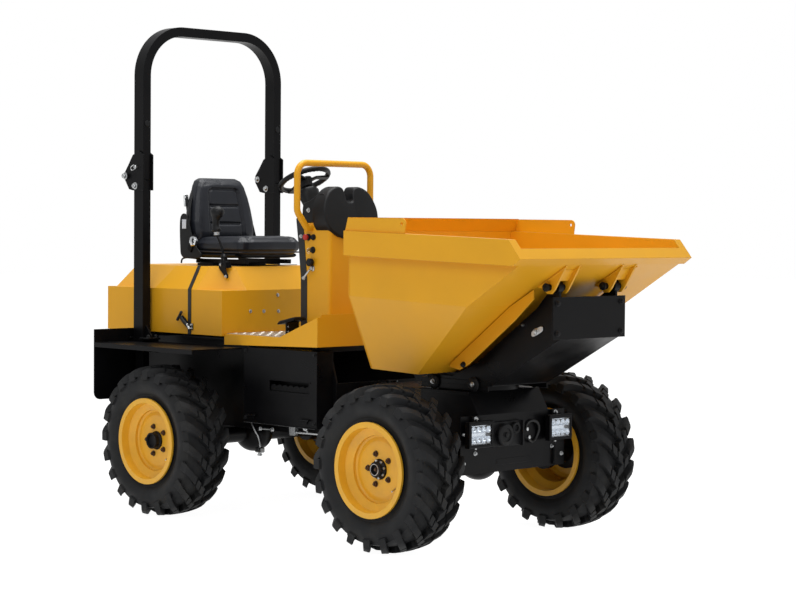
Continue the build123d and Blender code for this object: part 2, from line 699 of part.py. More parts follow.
with BuildPart() as pedals:
    for side in (-1, 1):
        add_plate(
            (
                (console_rear_x - 60, floor_z + 60), (console_rear_x + 60, floor_z + 85),
                (console_rear_x + 62, floor_z + 78), (console_rear_x + 10, floor_z + 66),
                (console_rear_x + 10, floor_z + 3), (console_rear_x, floor_z + 3),
                (console_rear_x, floor_z + 64), (console_rear_x - 58, floor_z + 52),
            ),
            side * 225, 80,
        )
pedals.part.label = "pedals"
export_step(pedals.part, "parts/pedals.step")

# ---------------------------------------------------------------- roll hoop
with BuildPart() as roll_legs:
    for side in (-1, 1):
        y = side * hoop_y
        add_box(hoop_x - hoop_depth / 2, hoop_x + hoop_depth / 2, y - hoop_width / 2, y + hoop_width / 2,
                fender_z + 12, fold_joint_z)
        # cheek plates that carry the fold pin and straddle the upper leg
        for edge in (-1, 1):
            add_plate(
                (
                    (hoop_x + hoop_depth / 2 + 12, fold_joint_z - 50), (hoop_x + hoop_depth / 2 + 12, 1790),
                    (hoop_x + 10, 1812), (hoop_x - hoop_depth / 2 - 2, 1790), (hoop_x - 70, 1748),
                    (fold_x - 20, 1702), (fold_x - 20, 1668), (hoop_x - 69, 1616),
                    (hoop_x - hoop_depth / 2, fold_joint_z - 50),
                ),
                y + edge * (hoop_width / 2 + face_gap + 4), 8,
            )
            add_box(hoop_x - hoop_depth / 2, hoop_x + hoop_depth / 2, y + edge * (hoop_width / 2 - 1),
                    y + edge * (hoop_width / 2 + 2), fold_joint_z - 50, fold_joint_z - 8)
        add_pin(fold_x, fold_z, fold_pin_radius, side * (hoop_y - hoop_width / 2 - 8),
                side * (hoop_y + hoop_width / 2 + 20))
roll_legs.part.label = "roll_legs"
export_step(roll_legs.part, "parts/roll_legs.step")

with BuildPart() as roll_hoop:
    with BuildSketch(Plane.YZ.offset(hoop_x - hoop_depth / 2)) as band:
        outer_y = hoop_y + hoop_width / 2
        inner_y = hoop_y - hoop_width / 2
        joint_z = fold_joint_z + 4
        with BuildLine():
            FilletPolyline((-outer_y, joint_z), (-outer_y, roll_hoop_height), (outer_y, roll_hoop_height),
                           (outer_y, joint_z), radius=hoop_bend)
            Line((outer_y, joint_z), (inner_y, joint_z))
            FilletPolyline((inner_y, joint_z), (inner_y, roll_hoop_height - hoop_width),
                           (-inner_y, roll_hoop_height - hoop_width), (-inner_y, joint_z),
                           radius=hoop_bend - hoop_width)
            Line((-inner_y, joint_z), (-outer_y, joint_z))
        make_face()
    extrude(band.sketch, amount=hoop_depth)
    for side in (-1, 1):
        # hinge lug behind each leg
        y = side * hoop_y
        add_box(fold_x, hoop_x, y - hoop_width / 2, y + hoop_width / 2, joint_z, fold_z + 30)
        add_pin(fold_x, fold_z, 18, y - hoop_width / 2, y + hoop_width / 2)
        add_pin(fold_x, fold_z, fold_pin_radius + fit, y - hoop_width / 2 - 1, y + hoop_width / 2 + 1,
                Mode.SUBTRACT)
roll_hoop.part.label = "roll_hoop"
export_step(roll_hoop.part, "parts/roll_hoop.step")

# ---------------------------------------------------------------- articulation
lug_thickness = 30
knuckle_radius = 60
yoke_rear_x = pivot_x - 100
front_rear_x = pivot_x + 110
with BuildPart() as pivot_yoke:
    for z in (pivot_low_z, pivot_high_z):
        with BuildSketch(Plane.XY.offset(z)) as lug:
            with BuildLine():
                Polyline(
                    (yoke_rear_x, -94), (yoke_rear_x, 94), (pivot_x, knuckle_radius),
                    (pivot_x, -knuckle_radius), close=True,
                )
            make_face()
            with Locations((pivot_x, 0)):
                Circle(knuckle_radius)
                Circle(pivot_pin_radius + fit, mode=Mode.SUBTRACT)
        extrude(lug.sketch, amount=lug_thickness)
    add_box(yoke_rear_x, yoke_rear_x + 14, -94, 94, pivot_low_z, pivot_high_z + lug_thickness)
pivot_yoke.part.label = "pivot_yoke"
export_step(pivot_yoke.part, "parts/pivot_yoke.step")

cheek = 18
with BuildPart() as front_knuckle:
    for z in (pivot_low_z, pivot_high_z):
        for level in (z - cheek - 0.5, z + lug_thickness + 0.5):
            with BuildSketch(Plane.XY.offset(level)) as lug:
                with BuildLine():
                    Polyline(
                        (front_rear_x, -108), (front_rear_x, 108), (pivot_x, knuckle_radius - 6),
                        (pivot_x, -knuckle_radius + 6), close=True,
                    )
                make_face()
                with Locations((pivot_x, 0)):
                    Circle(knuckle_radius - 6)
            extrude(lug.sketch, amount=cheek)
        add_post(pivot_x, 0, pivot_pin_radius, z - cheek - 12, z + lug_thickness + cheek + 12)
    add_box(front_rear_x, front_rear_x + 12, -front_rail_y, front_rail_y,
            pivot_low_z - cheek - 5, front_top_z - 12)
    add_box(front_rear_x - 1, front_rear_x + 13, -222, -109, 515, 605, Mode.SUBTRACT)
front_knuckle.part.label = "front_knuckle"
export_step(front_knuckle.part, "parts/front_knuckle.step")

# ---------------------------------------------------------------- front frame
front_nose_x = front_axle_x + 218
light_y = 268
light_half_width = 78
with BuildPart() as front_chassis:
    rail = (
        (front_rear_x + 12, 430), (front_axle_x - 130, 430), (front_axle_x - 90, axle_z + 60),
        (front_axle_x + 90, axle_z + 60), (front_axle_x + 130, 430), (front_nose_x, 430),
        (front_nose_x, 600), (front_nose_x - 60, front_top_z - 12), (front_rear_x + 12, front_top_z - 12),
    )
    for side in (-1, 1):
        add_plate(rail, side * (front_rail_y - plate / 2), plate)
        add_box(front_axle_x - 70, front_axle_x + 70, side * 150, side * front_rail_y,
                axle_z + axle_tube_radius + 0.01, axle_z + 80)
    add_box(front_rear_x + 12, front_nose_x - 60, -front_rail_y - 5, front_rail_y + 5,
            front_top_z - 12, front_top_z)
    add_box(front_nose_x - 10, front_nose_x, -350, 350, 340, 600)
    # sloping plate from the top of the frame down to the nose
    add_plate(
        (
            (front_nose_x - 10, 600), (front_nose_x, 600),
            (front_nose_x - 60, front_top_z), (front_nose_x - 70, front_top_z),
        ),
        0, 2 * front_rail_y,
    )
    add_post(slew_x, 0, slew_ring_radius, front_top_z, slew_base_z - face_gap)
    add_post(slew_x, 0, slew_post_radius, front_top_z, slew_base_z + 26)
front_chassis.part.label = "front_chassis"
export_step(front_chassis.part, "parts/front_chassis.step")

with BuildPart() as work_lights:
    for side in (-1, 1):
        add_box(front_nose_x + 14, front_nose_x + 52, side * (light_y - light_half_width),
                side * (light_y + light_half_width), 462, 577)
        add_box(front_nose_x, front_nose_x + 14, side * (light_y - 20), side * (light_y + 20), 470, 600)
work_lights.part.label = "work_lights"
export_step(work_lights.part, "parts/work_lights.step")

# ---------------------------------------------------------------- slewing frame
turntable = 22
side_plate = 12
nose_x = slew_x + 655
nose_top_z = 1138
ear_radius = 28
with BuildPart() as slew_frame:
    add_box(slew_x - 175, slew_x + 250, -tip_side_y - 10, tip_side_y + 10, slew_base_z, slew_base_z + turntable)
    cheek_outline = (
        (slew_x - 120, slew_base_z), (slew_x + 250, slew_base_z), (nose_x, 955), (nose_x, nose_top_z),
        (tip_x + 20, 1118), (tip_x + 20, tip_z), (tip_x - 20, tip_z), (slew_x + 520, 1085),
        (slew_x + 170, 830), (slew_x + 20, 764), (slew_x - 120, 764),
    )
    for side in (-1, 1):
        add_plate(cheek_outline, side * tip_side_y, side_plate)
        add_pin(tip_x, tip_z, ear_radius, side * tip_side_y - 16, side * tip_side_y + 16)
        add_pin(tip_x, tip_z, tip_pin_radius, side * tip_side_y - 70, side * tip_side_y + 70)
    # nose plate and the sloping belly plate
    add_box(nose_x - plate, nose_x, -243, 243, 955, nose_top_z)
    add_plate(((slew_x + 245, slew_base_z), (slew_x + 245, slew_base_z + 10), (nose_x - 5, 965), (nose_x, 955)),
              0, 2 * tip_side_y)
    # ram base lugs standing behind the nose plate
    for side in (-1, 1):
        add_plate(
            ((nose_x - 9, ram_base_z - 60), (nose_x - 9, ram_base_z + 50), (ram_base_x + 10, ram_base_z + 26),
             (ram_base_x - 22, ram_base_z + 14), (ram_base_x - 22, ram_base_z - 14), (ram_base_x, ram_base_z - 30)),
            side * 39, 12,
        )
    add_pin(ram_base_x, ram_base_z, ram_pin_radius, -44, 44)
    add_post(slew_x, 0, slew_post_radius + fit, slew_base_z - 1, slew_base_z + turntable + 40, Mode.SUBTRACT)
slew_frame.part.label = "slew_frame"
export_step(slew_frame.part, "parts/slew_frame.step")

# ---------------------------------------------------------------- tip ram
tip_reach = hypot(ram_rod_x - ram_base_x, ram_rod_z - ram_base_z)
tip_dir = ((ram_rod_x - ram_base_x) / tip_reach, 0, (ram_rod_z - ram_base_z) / tip_reach)
tip_ram_plane = Plane(origin=(ram_base_x, 0, ram_base_z), x_dir=(0, 1, 0), z_dir=tip_dir)
tip_barrel_length = 350
with BuildPart() as tip_barrel:
    add_pin(ram_base_x, ram_base_z, 30, -26, 26)
    with BuildSketch(tip_ram_plane):
        Circle(30)
    extrude(amount=tip_barrel_length)
    with BuildSketch(tip_ram_plane.offset(tip_barrel_length - 26)):
        Circle(36)
    extrude(amount=26)
    with BuildSketch(tip_ram_plane.offset(60)):
        Circle(24)
    extrude(amount=tip_barrel_length - 60 - 24, mode=Mode.SUBTRACT)
    with BuildSketch(tip_ram_plane.offset(60)):
        Circle(14 + fit)
    extrude(amount=tip_barrel_length, mode=Mode.SUBTRACT)
    add_pin(ram_base_x, ram_base_z, ram_pin_radius + fit, -31, 31, Mode.SUBTRACT)
tip_barrel.part.label = "tip_barrel"
export_step(tip_barrel.part, "parts/tip_barrel.step")

with BuildPart() as tip_rod:
    with BuildSketch(tip_ram_plane.offset(66)):
        Circle(24 - 0.2)
    extrude(amount=14)
    with BuildSketch(tip_ram_plane.offset(66)):
        Circle(14)
    extrude(amount=tip_reach - 66 - rod_pin_radius - eye_play - 2)
    add_pin(ram_rod_x, ram_rod_z, rod_pin_radius + eye_play + 7, -22, 22)
    add_pin(ram_rod_x, ram_rod_z, rod_pin_radius + eye_play, -23, 23, Mode.SUBTRACT)
tip_rod.part.label = "tip_rod"
export_step(tip_rod.part, "parts/tip_rod.step")

# ---------------------------------------------------------------- skip
belly_lip_x = skip_lip_x - 42
belly_lip_z = skip_lip_z - 29
rim_front_x = skip_lip_x - 67
rim_front_z = skip_rim_z - 30
skip_outline = (               # side view, from the rear foot round to the rim
    (skip_rear_x + 8, skip_floor_z + 5), (skip_floor_front_x, skip_floor_z - 4),
    (skip_belly_x, skip_belly_z), (belly_lip_x, belly_lip_z), (skip_lip_x, skip_lip_z),
    (rim_front_x, rim_front_z), (skip_rear_x + 3, skip_rim_z), (skip_rear_x, skip_crease_z),
)
crease_rear = Vector(skip_rear_x, skip_body_half_width, skip_crease_z)
crease_front = Vector(skip_belly_x, skip_body_half_width, skip_belly_z)
foot_edge = Vector(skip_rear_x + 8, skip_floor_half_width, skip_floor_z + 5)


def tapered_hopper(outline, half_width, inset):
    """The hopper body as one solid: the side outline, pulled in below the crease on both sides."""
    with BuildPart(mode=Mode.PRIVATE) as body:
        add_plate(outline, 0, 2 * half_width)
        for side in (-1, 1):
            rear = Vector(crease_rear.X, side * crease_rear.Y, crease_rear.Z)
            along = Vector(crease_front.X, side * crease_front.Y, crease_front.Z) - rear
            down = Vector(foot_edge.X, side * foot_edge.Y, foot_edge.Z) - rear
            normal = along.cross(down) * side
            face = Plane(origin=rear, z_dir=normal)
            if face.z_dir.Y * side < 0:
                face = Plane(origin=rear, z_dir=-normal)
            split(bisect_by=face.offset(-inset), keep=Keep.BOTTOM)
    return body.part


band_outline = (               # the boxed rim, from the rear lower corner round
    (skip_rear_x + 3, skip_band_z), (belly_lip_x, belly_lip_z), (skip_lip_x, skip_lip_z),
    (rim_front_x, rim_front_z), (skip_rear_x + 3, skip_rim_z),
)
# the inside of the hopper: one sheet in from the outside, up behind the lip strip and past the rim
inner_rear_x = skip_rear_x + 6
inner_outline = (
    (inner_rear_x + 7, skip_floor_z + 10), (skip_floor_front_x - 2, skip_floor_z + 1),
    (skip_belly_x - 3, skip_belly_z + 5.5), (belly_lip_x - 9, belly_lip_z + 1),
    (skip_lip_x - 36, skip_lip_z + 44), (skip_lip_x, skip_rim_z + 84), (inner_rear_x + 3, skip_rim_z + 84),
    (inner_rear_x, skip_crease_z),
)
with BuildPart() as skip_shell:
    add(tapered_hopper(skip_outline, skip_body_half_width, 0))
    add_plate(band_outline, 0, 2 * skip_half_width)
    # the lip strip is bevelled back from its front edge
    add_plate(
        (
            (skip_lip_x + 1, skip_lip_z), (skip_lip_x - 30, skip_lip_z + 36), (skip_lip_x - 36, skip_lip_z + 44),
            (skip_lip_x - 36, skip_rim_z), (skip_lip_x + 1, skip_rim_z),
        ),
        0, 2 * (skip_body_half_width - skip_sheet), Mode.SUBTRACT,
    )
    add(tapered_hopper(inner_outline, skip_body_half_width - skip_sheet, skip_sheet), mode=Mode.SUBTRACT)
skip_shell.part.label = "skip_shell"
export_step(skip_shell.part, "parts/skip_shell.step")

guard_rear_x = skip_rear_x + 3
guard_height = 60
guard_sheet = 6
guard_hole_x = guard_rear_x + 359
guard_hole_z = skip_rim_z + 32
guard_end_radius = 24
guard_side_y = skip_half_width - 13
rim_slope = (rim_front_z - skip_rim_z) / (rim_front_x - skip_rear_x - 3)


def above_rim(x):
    """Height just over the sloping top of the rim."""
    return skip_rim_z + rim_slope * (x - guard_rear_x) + 0.2


with BuildPart() as spill_guard:
    guard_top_z = skip_rim_z + guard_height
    add_plate(
        (
            (guard_rear_x, skip_rim_z), (guard_rear_x + guard_sheet, skip_rim_z),
            (guard_rear_x + guard_sheet + 18, guard_top_z), (guard_rear_x + 18, guard_top_z),
        ),
        0, 2 * skip_half_width - 20,
    )
    for side in (-1, 1):
        add_plate(
            (
                (guard_rear_x + 2, above_rim(guard_rear_x + 2)), (guard_hole_x + 18, above_rim(guard_hole_x + 18)),
                (guard_hole_x + guard_end_radius, guard_hole_z), (guard_hole_x, guard_hole_z + guard_end_radius),
                (guard_rear_x + 17, guard_top_z - 2),
            ),
            side * guard_side_y, guard_sheet,
        )
        # rounded front end, with the hole for a shackle in it
        add_pin(guard_hole_x, guard_hole_z, guard_end_radius, side * (guard_side_y - guard_sheet / 2),
                side * (guard_side_y + guard_sheet / 2))
        add_pin(guard_hole_x, guard_hole_z, 7, side * (guard_side_y - 7), side * (guard_side_y + 8),
                Mode.SUBTRACT)
spill_guard.part.label = "spill_guard"
export_step(spill_guard.part, "parts/spill_guard.step")

belly_slope = (belly_lip_z - skip_belly_z) / (belly_lip_x - skip_belly_x)
foot_slope = (skip_belly_z - skip_floor_z + 4) / (skip_belly_x - skip_floor_front_x)
lug_wall = 10
lug_spread = 45                # half the distance between the two flanges of a tipping lug


def under_belly(x):
    """Height just under the belly plate that runs up to the lip."""
    return skip_belly_z + belly_slope * (x - skip_belly_x) - 0.2


with BuildPart() as skip_lugs:
    for side in (-1, 1):
        for edge in (-1, 1):
            y = side * tip_side_y + edge * lug_spread
            add_plate(
                (
                    (tip_x - 62, under_belly(tip_x - 62)), (tip_x - 30, tip_z - 10), (tip_x - 12, tip_z - 28),
                    (tip_x + 12, tip_z - 28), (tip_x + 30, tip_z - 10), (tip_x + 96, under_belly(tip_x + 96)),
                ),
                y, lug_wall,
            )
            add_pin(tip_x, tip_z, tip_pin_radius + fit, y - lug_wall, y + lug_wall, Mode.SUBTRACT)
        # web between the two flanges, set back from their front edge
        add_plate(
            (
                (tip_x + 24, tip_z + 28), (tip_x + 30, tip_z + 28),
                (tip_x + 62, under_belly(tip_x + 62)), (tip_x + 56, under_belly(tip_x + 56)),
            ),
            side * tip_side_y, 2 * lug_spread,
        )
    # rod lugs under the belly
    rod_top_z = skip_floor_z - 4 + foot_slope * (ram_rod_x - skip_floor_front_x) - face_gap
    for side in (-1, 1):
        add_plate(
            (
                (ram_rod_x - 60, rod_top_z - 60 * foot_slope), (ram_rod_x + 80, rod_top_z + 80 * foot_slope),
                (ram_rod_x + 24, ram_rod_z - 10), (ram_rod_x, ram_rod_z - 26), (ram_rod_x - 24, ram_rod_z - 10),
            ),
            side * 32, 12,
        )
    add_pin(ram_rod_x, ram_rod_z, rod_pin_radius, -44, 44)
skip_lugs.part.label = "skip_lugs"
export_step(skip_lugs.part, "parts/skip_lugs.step")

# ---------------------------------------------------------------- steering ram
steer_base = (pivot_x - 280, -170)
steer_rod = (pivot_x + 180, -165)
steer_z = 560
steer_reach = hypot(steer_rod[0] - steer_base[0], steer_rod[1] - steer_base[1])
steer_dir = ((steer_rod[0] - steer_base[0]) / steer_reach, (steer_rod[1] - steer_base[1]) / steer_reach, 0)
steer_plane = Plane(origin=(*steer_base, steer_z), x_dir=(-1, 0, 0), z_dir=steer_dir)
steer_barrel_length = 262
steer_piston_at = 141          # from the base pin to the piston, with the frame straight
steer_piston = 8
with BuildPart() as steer_barrel:
    add_post(*steer_base, 26, steer_z - 22, steer_z + 22)
    with BuildSketch(steer_plane):
        Circle(26)
    extrude(amount=steer_barrel_length)
    with BuildSketch(steer_plane.offset(50)):
        Circle(20)
    extrude(amount=steer_barrel_length - 50 - 22, mode=Mode.SUBTRACT)
    with BuildSketch(steer_plane.offset(50)):
        Circle(12 + fit)
    extrude(amount=steer_barrel_length, mode=Mode.SUBTRACT)
    add_post(*steer_base, 12 + fit, steer_z - 27, steer_z + 27, Mode.SUBTRACT)
steer_barrel.part.label = "steer_barrel"
export_step(steer_barrel.part, "parts/steer_barrel.step")

with BuildPart() as steer_rod_part:
    with BuildSketch(steer_plane.offset(steer_piston_at)):
        Circle(20 - 0.2)
    extrude(amount=steer_piston)
    with BuildSketch(steer_plane.offset(steer_piston_at)):
        Circle(12)
    extrude(amount=steer_reach - steer_piston_at - rod_pin_radius - eye_play - 2)
    add_post(*steer_rod, rod_pin_radius + eye_play + 8, steer_z - 20, steer_z + 20)
    add_post(*steer_rod, rod_pin_radius + eye_play, steer_z - 21, steer_z + 21, Mode.SUBTRACT)
steer_rod_part.part.label = "steer_rod"
export_step(steer_rod_part.part, "parts/steer_rod.step")

with BuildPart() as steer_mounts_rear:
    for level in (steer_z - 40, steer_z + 28):
        add_box(steer_base[0] - 30, steer_base[0] + 30, steer_base[1] + 30, -rear_rail_y + plate, level, level + 12)
    add_post(*steer_base, 12, steer_z - 44, steer_z + 44)
steer_mounts_rear.part.label = "steer_mount_rear"
export_step(steer_mounts_rear.part, "parts/steer_mount_rear.step")

with BuildPart() as steer_mounts_front:
    for level in (steer_z - 40, steer_z + 28):
        add_box(steer_rod[0] - 30, steer_rod[0] + 30, steer_rod[1] + 25, -front_rail_y + plate, level, level + 12)
    add_post(*steer_rod, rod_pin_radius, steer_z - 44, steer_z + 44)
steer_mounts_front.part.label = "steer_mount_front"
export_step(steer_mounts_front.part, "parts/steer_mount_front.step")
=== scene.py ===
"""Looks of the swivel-skip site dumper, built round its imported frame.

Every piece is a numpy surface placed in the row frame (metres, +X forward, +Y left, +Z up).
"""

import json
import logging
from dataclasses import dataclass
from enum import Enum

import bmesh
import bpy
import numpy as np
from mathutils import Matrix, Vector

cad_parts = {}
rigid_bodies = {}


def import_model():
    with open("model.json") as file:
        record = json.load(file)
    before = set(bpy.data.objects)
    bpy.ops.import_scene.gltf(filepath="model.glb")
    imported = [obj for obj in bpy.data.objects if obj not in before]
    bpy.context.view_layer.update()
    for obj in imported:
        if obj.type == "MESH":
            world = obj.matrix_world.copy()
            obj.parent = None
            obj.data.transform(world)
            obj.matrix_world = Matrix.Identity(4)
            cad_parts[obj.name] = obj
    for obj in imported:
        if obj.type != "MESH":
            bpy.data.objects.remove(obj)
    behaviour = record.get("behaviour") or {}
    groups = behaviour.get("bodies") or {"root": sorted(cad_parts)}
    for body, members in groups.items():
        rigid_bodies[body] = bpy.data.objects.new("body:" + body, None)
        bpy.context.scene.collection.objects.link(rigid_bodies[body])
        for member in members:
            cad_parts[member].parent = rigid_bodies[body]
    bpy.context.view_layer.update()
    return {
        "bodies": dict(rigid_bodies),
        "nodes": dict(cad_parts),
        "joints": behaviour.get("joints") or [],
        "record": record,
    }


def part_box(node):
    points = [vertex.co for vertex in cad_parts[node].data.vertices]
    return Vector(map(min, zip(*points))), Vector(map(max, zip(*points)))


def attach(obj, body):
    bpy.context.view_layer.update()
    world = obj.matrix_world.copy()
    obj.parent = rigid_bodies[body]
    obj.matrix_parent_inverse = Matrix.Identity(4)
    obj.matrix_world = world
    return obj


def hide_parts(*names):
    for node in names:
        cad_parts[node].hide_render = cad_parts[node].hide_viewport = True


LOG = logging.getLogger("site_dumper")
CORNERS = ("rear_right", "rear_left", "front_right", "front_left")
MM = 0.001
SIDES = (-1, 1)                 # right, left
UP = (0, 0, 1)
NOISE_LOW, NOISE_HIGH = 0.3, 0.7        # where most of a noise texture's values lie


# ---------------------------------------------------------------- shells


@dataclass
class Shell:
    """One skin of points and the faces that join them."""

    points: np.ndarray
    faces: list

    def moved(self, origin: tuple, x_axis: tuple = (1, 0, 0), z_axis: tuple = UP) -> "Shell":
        """Carry the skin from its own axes to a place: origin + x * X + y * (Z cross X) + z * Z.

        Args:
            origin: where the skin's own zero goes.
            x_axis: direction of its own X.
            z_axis: direction of its own Z.

        Returns:
            The moved skin.
        """
        z = unit(z_axis)
        x = unit(np.asarray(x_axis, float) - np.dot(x_axis, z) * z)
        basis = np.stack([x, np.cross(z, x), z])
        return Shell(self.points @ basis + np.asarray(origin, float), self.faces)

    def on_side(self, spot: tuple, side: int) -> "Shell":
        """Stand the skin on a flank: its own Z points to the right (-1) or the left (1)."""
        return self.moved(spot, (1, 0, 0), (0, side, 0))

    def on_nose(self, spot: tuple) -> "Shell":
        """Stand the skin on a face that looks ahead: its own Z points forward, its own X left."""
        return self.moved(spot, (0, 1, 0), (1, 0, 0))

    def shifted(self, axis: int, amount: np.ndarray) -> "Shell":
        """Add an amount to one coordinate of each point.

        Args:
            axis: the coordinate, 0 to 2.
            amount: what each point's coordinate gains.

        Returns:
            The shifted skin.
        """
        points = self.points.copy()
        points[:, axis] += amount
        return Shell(points, self.faces)

    def fluted(self, count: int, depth: float, stepped: bool = False) -> "Shell":
        """Flute the skin round its own Z: r * (1 + depth * cos(count * t)).

        Args:
            count: number of flutes.
            depth: their depth, as a share of the radius.
            stepped: the wave jumps between 0 and 1.

        Returns:
            The fluted skin.
        """
        wave = np.cos(count * np.arctan2(self.points[:, 1], self.points[:, 0]))
        size = 1 + depth * (wave > 0 if stepped else wave)
        return Shell(self.points * np.column_stack([size, size, np.ones(len(size))]), self.faces)


def unit(vector: tuple) -> np.ndarray:
    """Return the vector at length one."""
    v = np.asarray(vector, float)
    return v / np.linalg.norm(v)


def grid_skin(points: np.ndarray, wrap_rows: bool = False, wrap_columns: bool = False,
              caps: bool = False) -> Shell:
    """Join a grid of points into quads, each with its right and upper neighbours.

    Args:
        points: array (rows, columns, 3).
        wrap_rows: join the last row to the first.
        wrap_columns: join the last column to the first.
        caps: close the first and last row with one face each.

    Returns:
        The skin.
    """
    rows, columns = points.shape[:2]
    index = np.arange(rows * columns).reshape(rows, columns)
    if wrap_rows:
        index = np.vstack([index, index[:1]])
    if wrap_columns:
        index = np.hstack([index, index[:, :1]])
    quads = np.stack([index[:-1, :-1], index[:-1, 1:], index[1:, 1:], index[1:, :-1]], -1).reshape(-1, 4)
    faces = quads.tolist()
    if caps:
        faces += [index[0, :columns][::-1].tolist(), index[rows - 1, :columns].tolist()]
    return Shell(points.reshape(-1, 3), faces)


def sweep(section: np.ndarray, path: np.ndarray, up: tuple = UP, scale: np.ndarray | float = 1.0,
          closed: bool = False) -> Shell:
    """Carry a flat section along a path: point = path + s * (a * side + b * normal).

    Args:
        section: closed outline (k, 2), its second axis towards up.
        path: points (n, 3) the section follows.
        up: direction that stays upright in the section.
        scale: size of the section at each path point.
        closed: the path is a ring.

    Returns:
        The skin, capped where the path is open.
    """
    path = np.asarray(path, float)
    ahead = np.roll(path, -1, 0) - np.roll(path, 1, 0) if closed else np.gradient(path, axis=0)
    ahead /= np.linalg.norm(ahead, axis=1, keepdims=True)
    side = np.cross(ahead, np.asarray(up, float))
    side /= np.linalg.norm(side, axis=1, keepdims=True)
    normal = np.cross(side, ahead)
    size = np.broadcast_to(np.asarray(scale, float), (len(path),))[:, None, None]
    points = path[:, None] + size * (
        section[None, :, :1] * side[:, None] + section[None, :, 1:] * normal[:, None])
    return grid_skin(points, wrap_rows=closed, wrap_columns=True, caps=not closed)


def ring(radius: float, sides: int = 16, squash: float = 1.0) -> np.ndarray:
    """Return a round section: (r cos t, squash * r sin t)."""
    t = np.linspace(0, 2 * np.pi, sides, endpoint=False)
    return np.stack([radius * np.cos(t), squash * radius * np.sin(t)], 1)


def circle(radius: float, steps: int, height: float = 0.0) -> np.ndarray:
    """Return a level ring of points: (r cos t, r sin t, height)."""
    return np.column_stack([ring(radius, steps), np.full(steps, height)])


def rectangle(low: tuple, high: tuple) -> list:
    """Return an outline's four corners, from the low one round."""
    (a, b), (c, d) = low, high
    return [(a, b), (c, b), (c, d), (a, d)]


def mirrored(half: tuple) -> tuple:
    """Close a right half outline with its mirror image, which starts at the first corner's."""
    image = tuple((-a, b) for a, b in half)
    return image[:1] + half + image[:0:-1]


def winding(outline: np.ndarray) -> float:
    """Return 1 for an outline that runs anticlockwise and -1 for the other way: the sign of its area."""
    after = np.roll(outline, -1, 0)
    return np.sign((outline[:, 0] * after[:, 1] - after[:, 0] * outline[:, 1]).sum())


def tube(path: list, radius: float, sides: int = 14, up: tuple = UP,
         scale: np.ndarray | float = 1.0) -> Shell:
    """Carry a round section along a path."""
    return sweep(ring(radius, sides), np.asarray(path, float), up, scale)


def cubic(a: np.ndarray, b: np.ndarray, c: np.ndarray, d: np.ndarray, f: np.ndarray) -> np.ndarray:
    """Return the Catmull-Rom cubic between b and c at the share f of the way."""
    bend, twist = 2 * a - 5 * b + 4 * c - d, 3 * b - a - 3 * c + d
    return 0.5 * (2 * b + (c - a) * f + bend * f**2 + twist * f**3)


def spline(points: list, samples: int = 40) -> np.ndarray:
    """Carry a smooth curve through points: Catmull-Rom cubics, worked out as whole arrays.

    Args:
        points: the points it passes.
        samples: number of points returned.

    Returns:
        Array (samples, 3).
    """
    p = np.asarray(points, float)
    p = np.vstack([2 * p[0] - p[1], p, 2 * p[-1] - p[-2]])
    t = np.linspace(0, len(p) - 3 - 1e-9, samples)
    i = t.astype(int)
    f = (t - i)[:, None]
    return cubic(p[i], p[i + 1], p[i + 2], p[i + 3], f)


def turned(profile: list, steps: int = 32) -> Shell:
    """Turn a profile once round its own Z: (r cos t, r sin t, h).

    Args:
        profile: corners (radius, height), the first and last of which are closed with a face.
        steps: number of facets round.

    Returns:
        The skin.
    """
    p = np.asarray(profile, float)
    around = ring(1.0, steps)
    height = np.broadcast_to(p[:, 1:], (len(p), steps))
    points = np.stack([p[:, :1] * around[:, 0], p[:, :1] * around[:, 1], height], -1)
    return grid_skin(points, wrap_columns=True, caps=True)


def slab(outline: list, thickness: float, bevel: float = 0.0) -> Shell:
    """Thicken a flat outline along its own Z, its two rims drawn in by a bevel: corner + bevel * inward.

    Args:
        outline: corners (x, y) in order.
        thickness: height in Z, centred on zero.
        bevel: width of the chamfer round both faces.

    Returns:
        The skin.
    """
    p = np.asarray(outline, float)
    before, after = unit_rows(p - np.roll(p, 1, 0)), unit_rows(np.roll(p, -1, 0) - p)
    turn = before[:, 0] * after[:, 1] - before[:, 1] * after[:, 0]
    bent = np.abs(turn) > 1e-6
    level = np.column_stack([-after[:, 1], after[:, 0]])
    inward = winding(p) * np.where(bent[:, None],
                                   (after - before) / np.where(bent, turn, 1)[:, None], level)
    h = thickness / 2
    levels = [(bevel, -h), (0, -h + bevel), (0, h - bevel), (bevel, h)] if bevel else [(0, -h), (0, h)]
    points = np.stack([np.column_stack([p + inset * inward, np.full(len(p), z)]) for inset, z in levels])
    return grid_skin(points, wrap_columns=True, caps=True)


def side_slab(outline: list, y: float, thickness: float, bevel: float = 0.0) -> Shell:
    """Stand a slab fore and aft: its outline is (x, z) and its middle is at y."""
    return slab(outline, thickness, bevel).on_side((0, y, 0), -1)


def front_slab(outline: list, x: float, thickness: float, bevel: float = 0.0) -> Shell:
    """Stand a slab across the machine: its outline is (y, z) and its middle is at x."""
    return slab(outline, thickness, bevel).on_nose((x, 0, 0))


def rounded(corners: list, samples: int = 80) -> list:
    """Run a closed smooth curve through corners: Catmull-Rom cubics all the way round.

    Args:
        corners: the points it passes, in order.
        samples: number of points returned.

    Returns:
        The curve's points.
    """
    p = np.asarray(corners, float)
    n = len(p)
    t = np.linspace(0, n, samples, endpoint=False)
    i = t.astype(int)
    f = (t - i)[:, None]
    return cubic(p[(i - 1) % n], p[i % n], p[(i + 1) % n], p[(i + 2) % n], f).tolist()


def unit_rows(v: np.ndarray) -> np.ndarray:
    """Return each row at length one."""
    return v / np.linalg.norm(v, axis=1, keepdims=True)


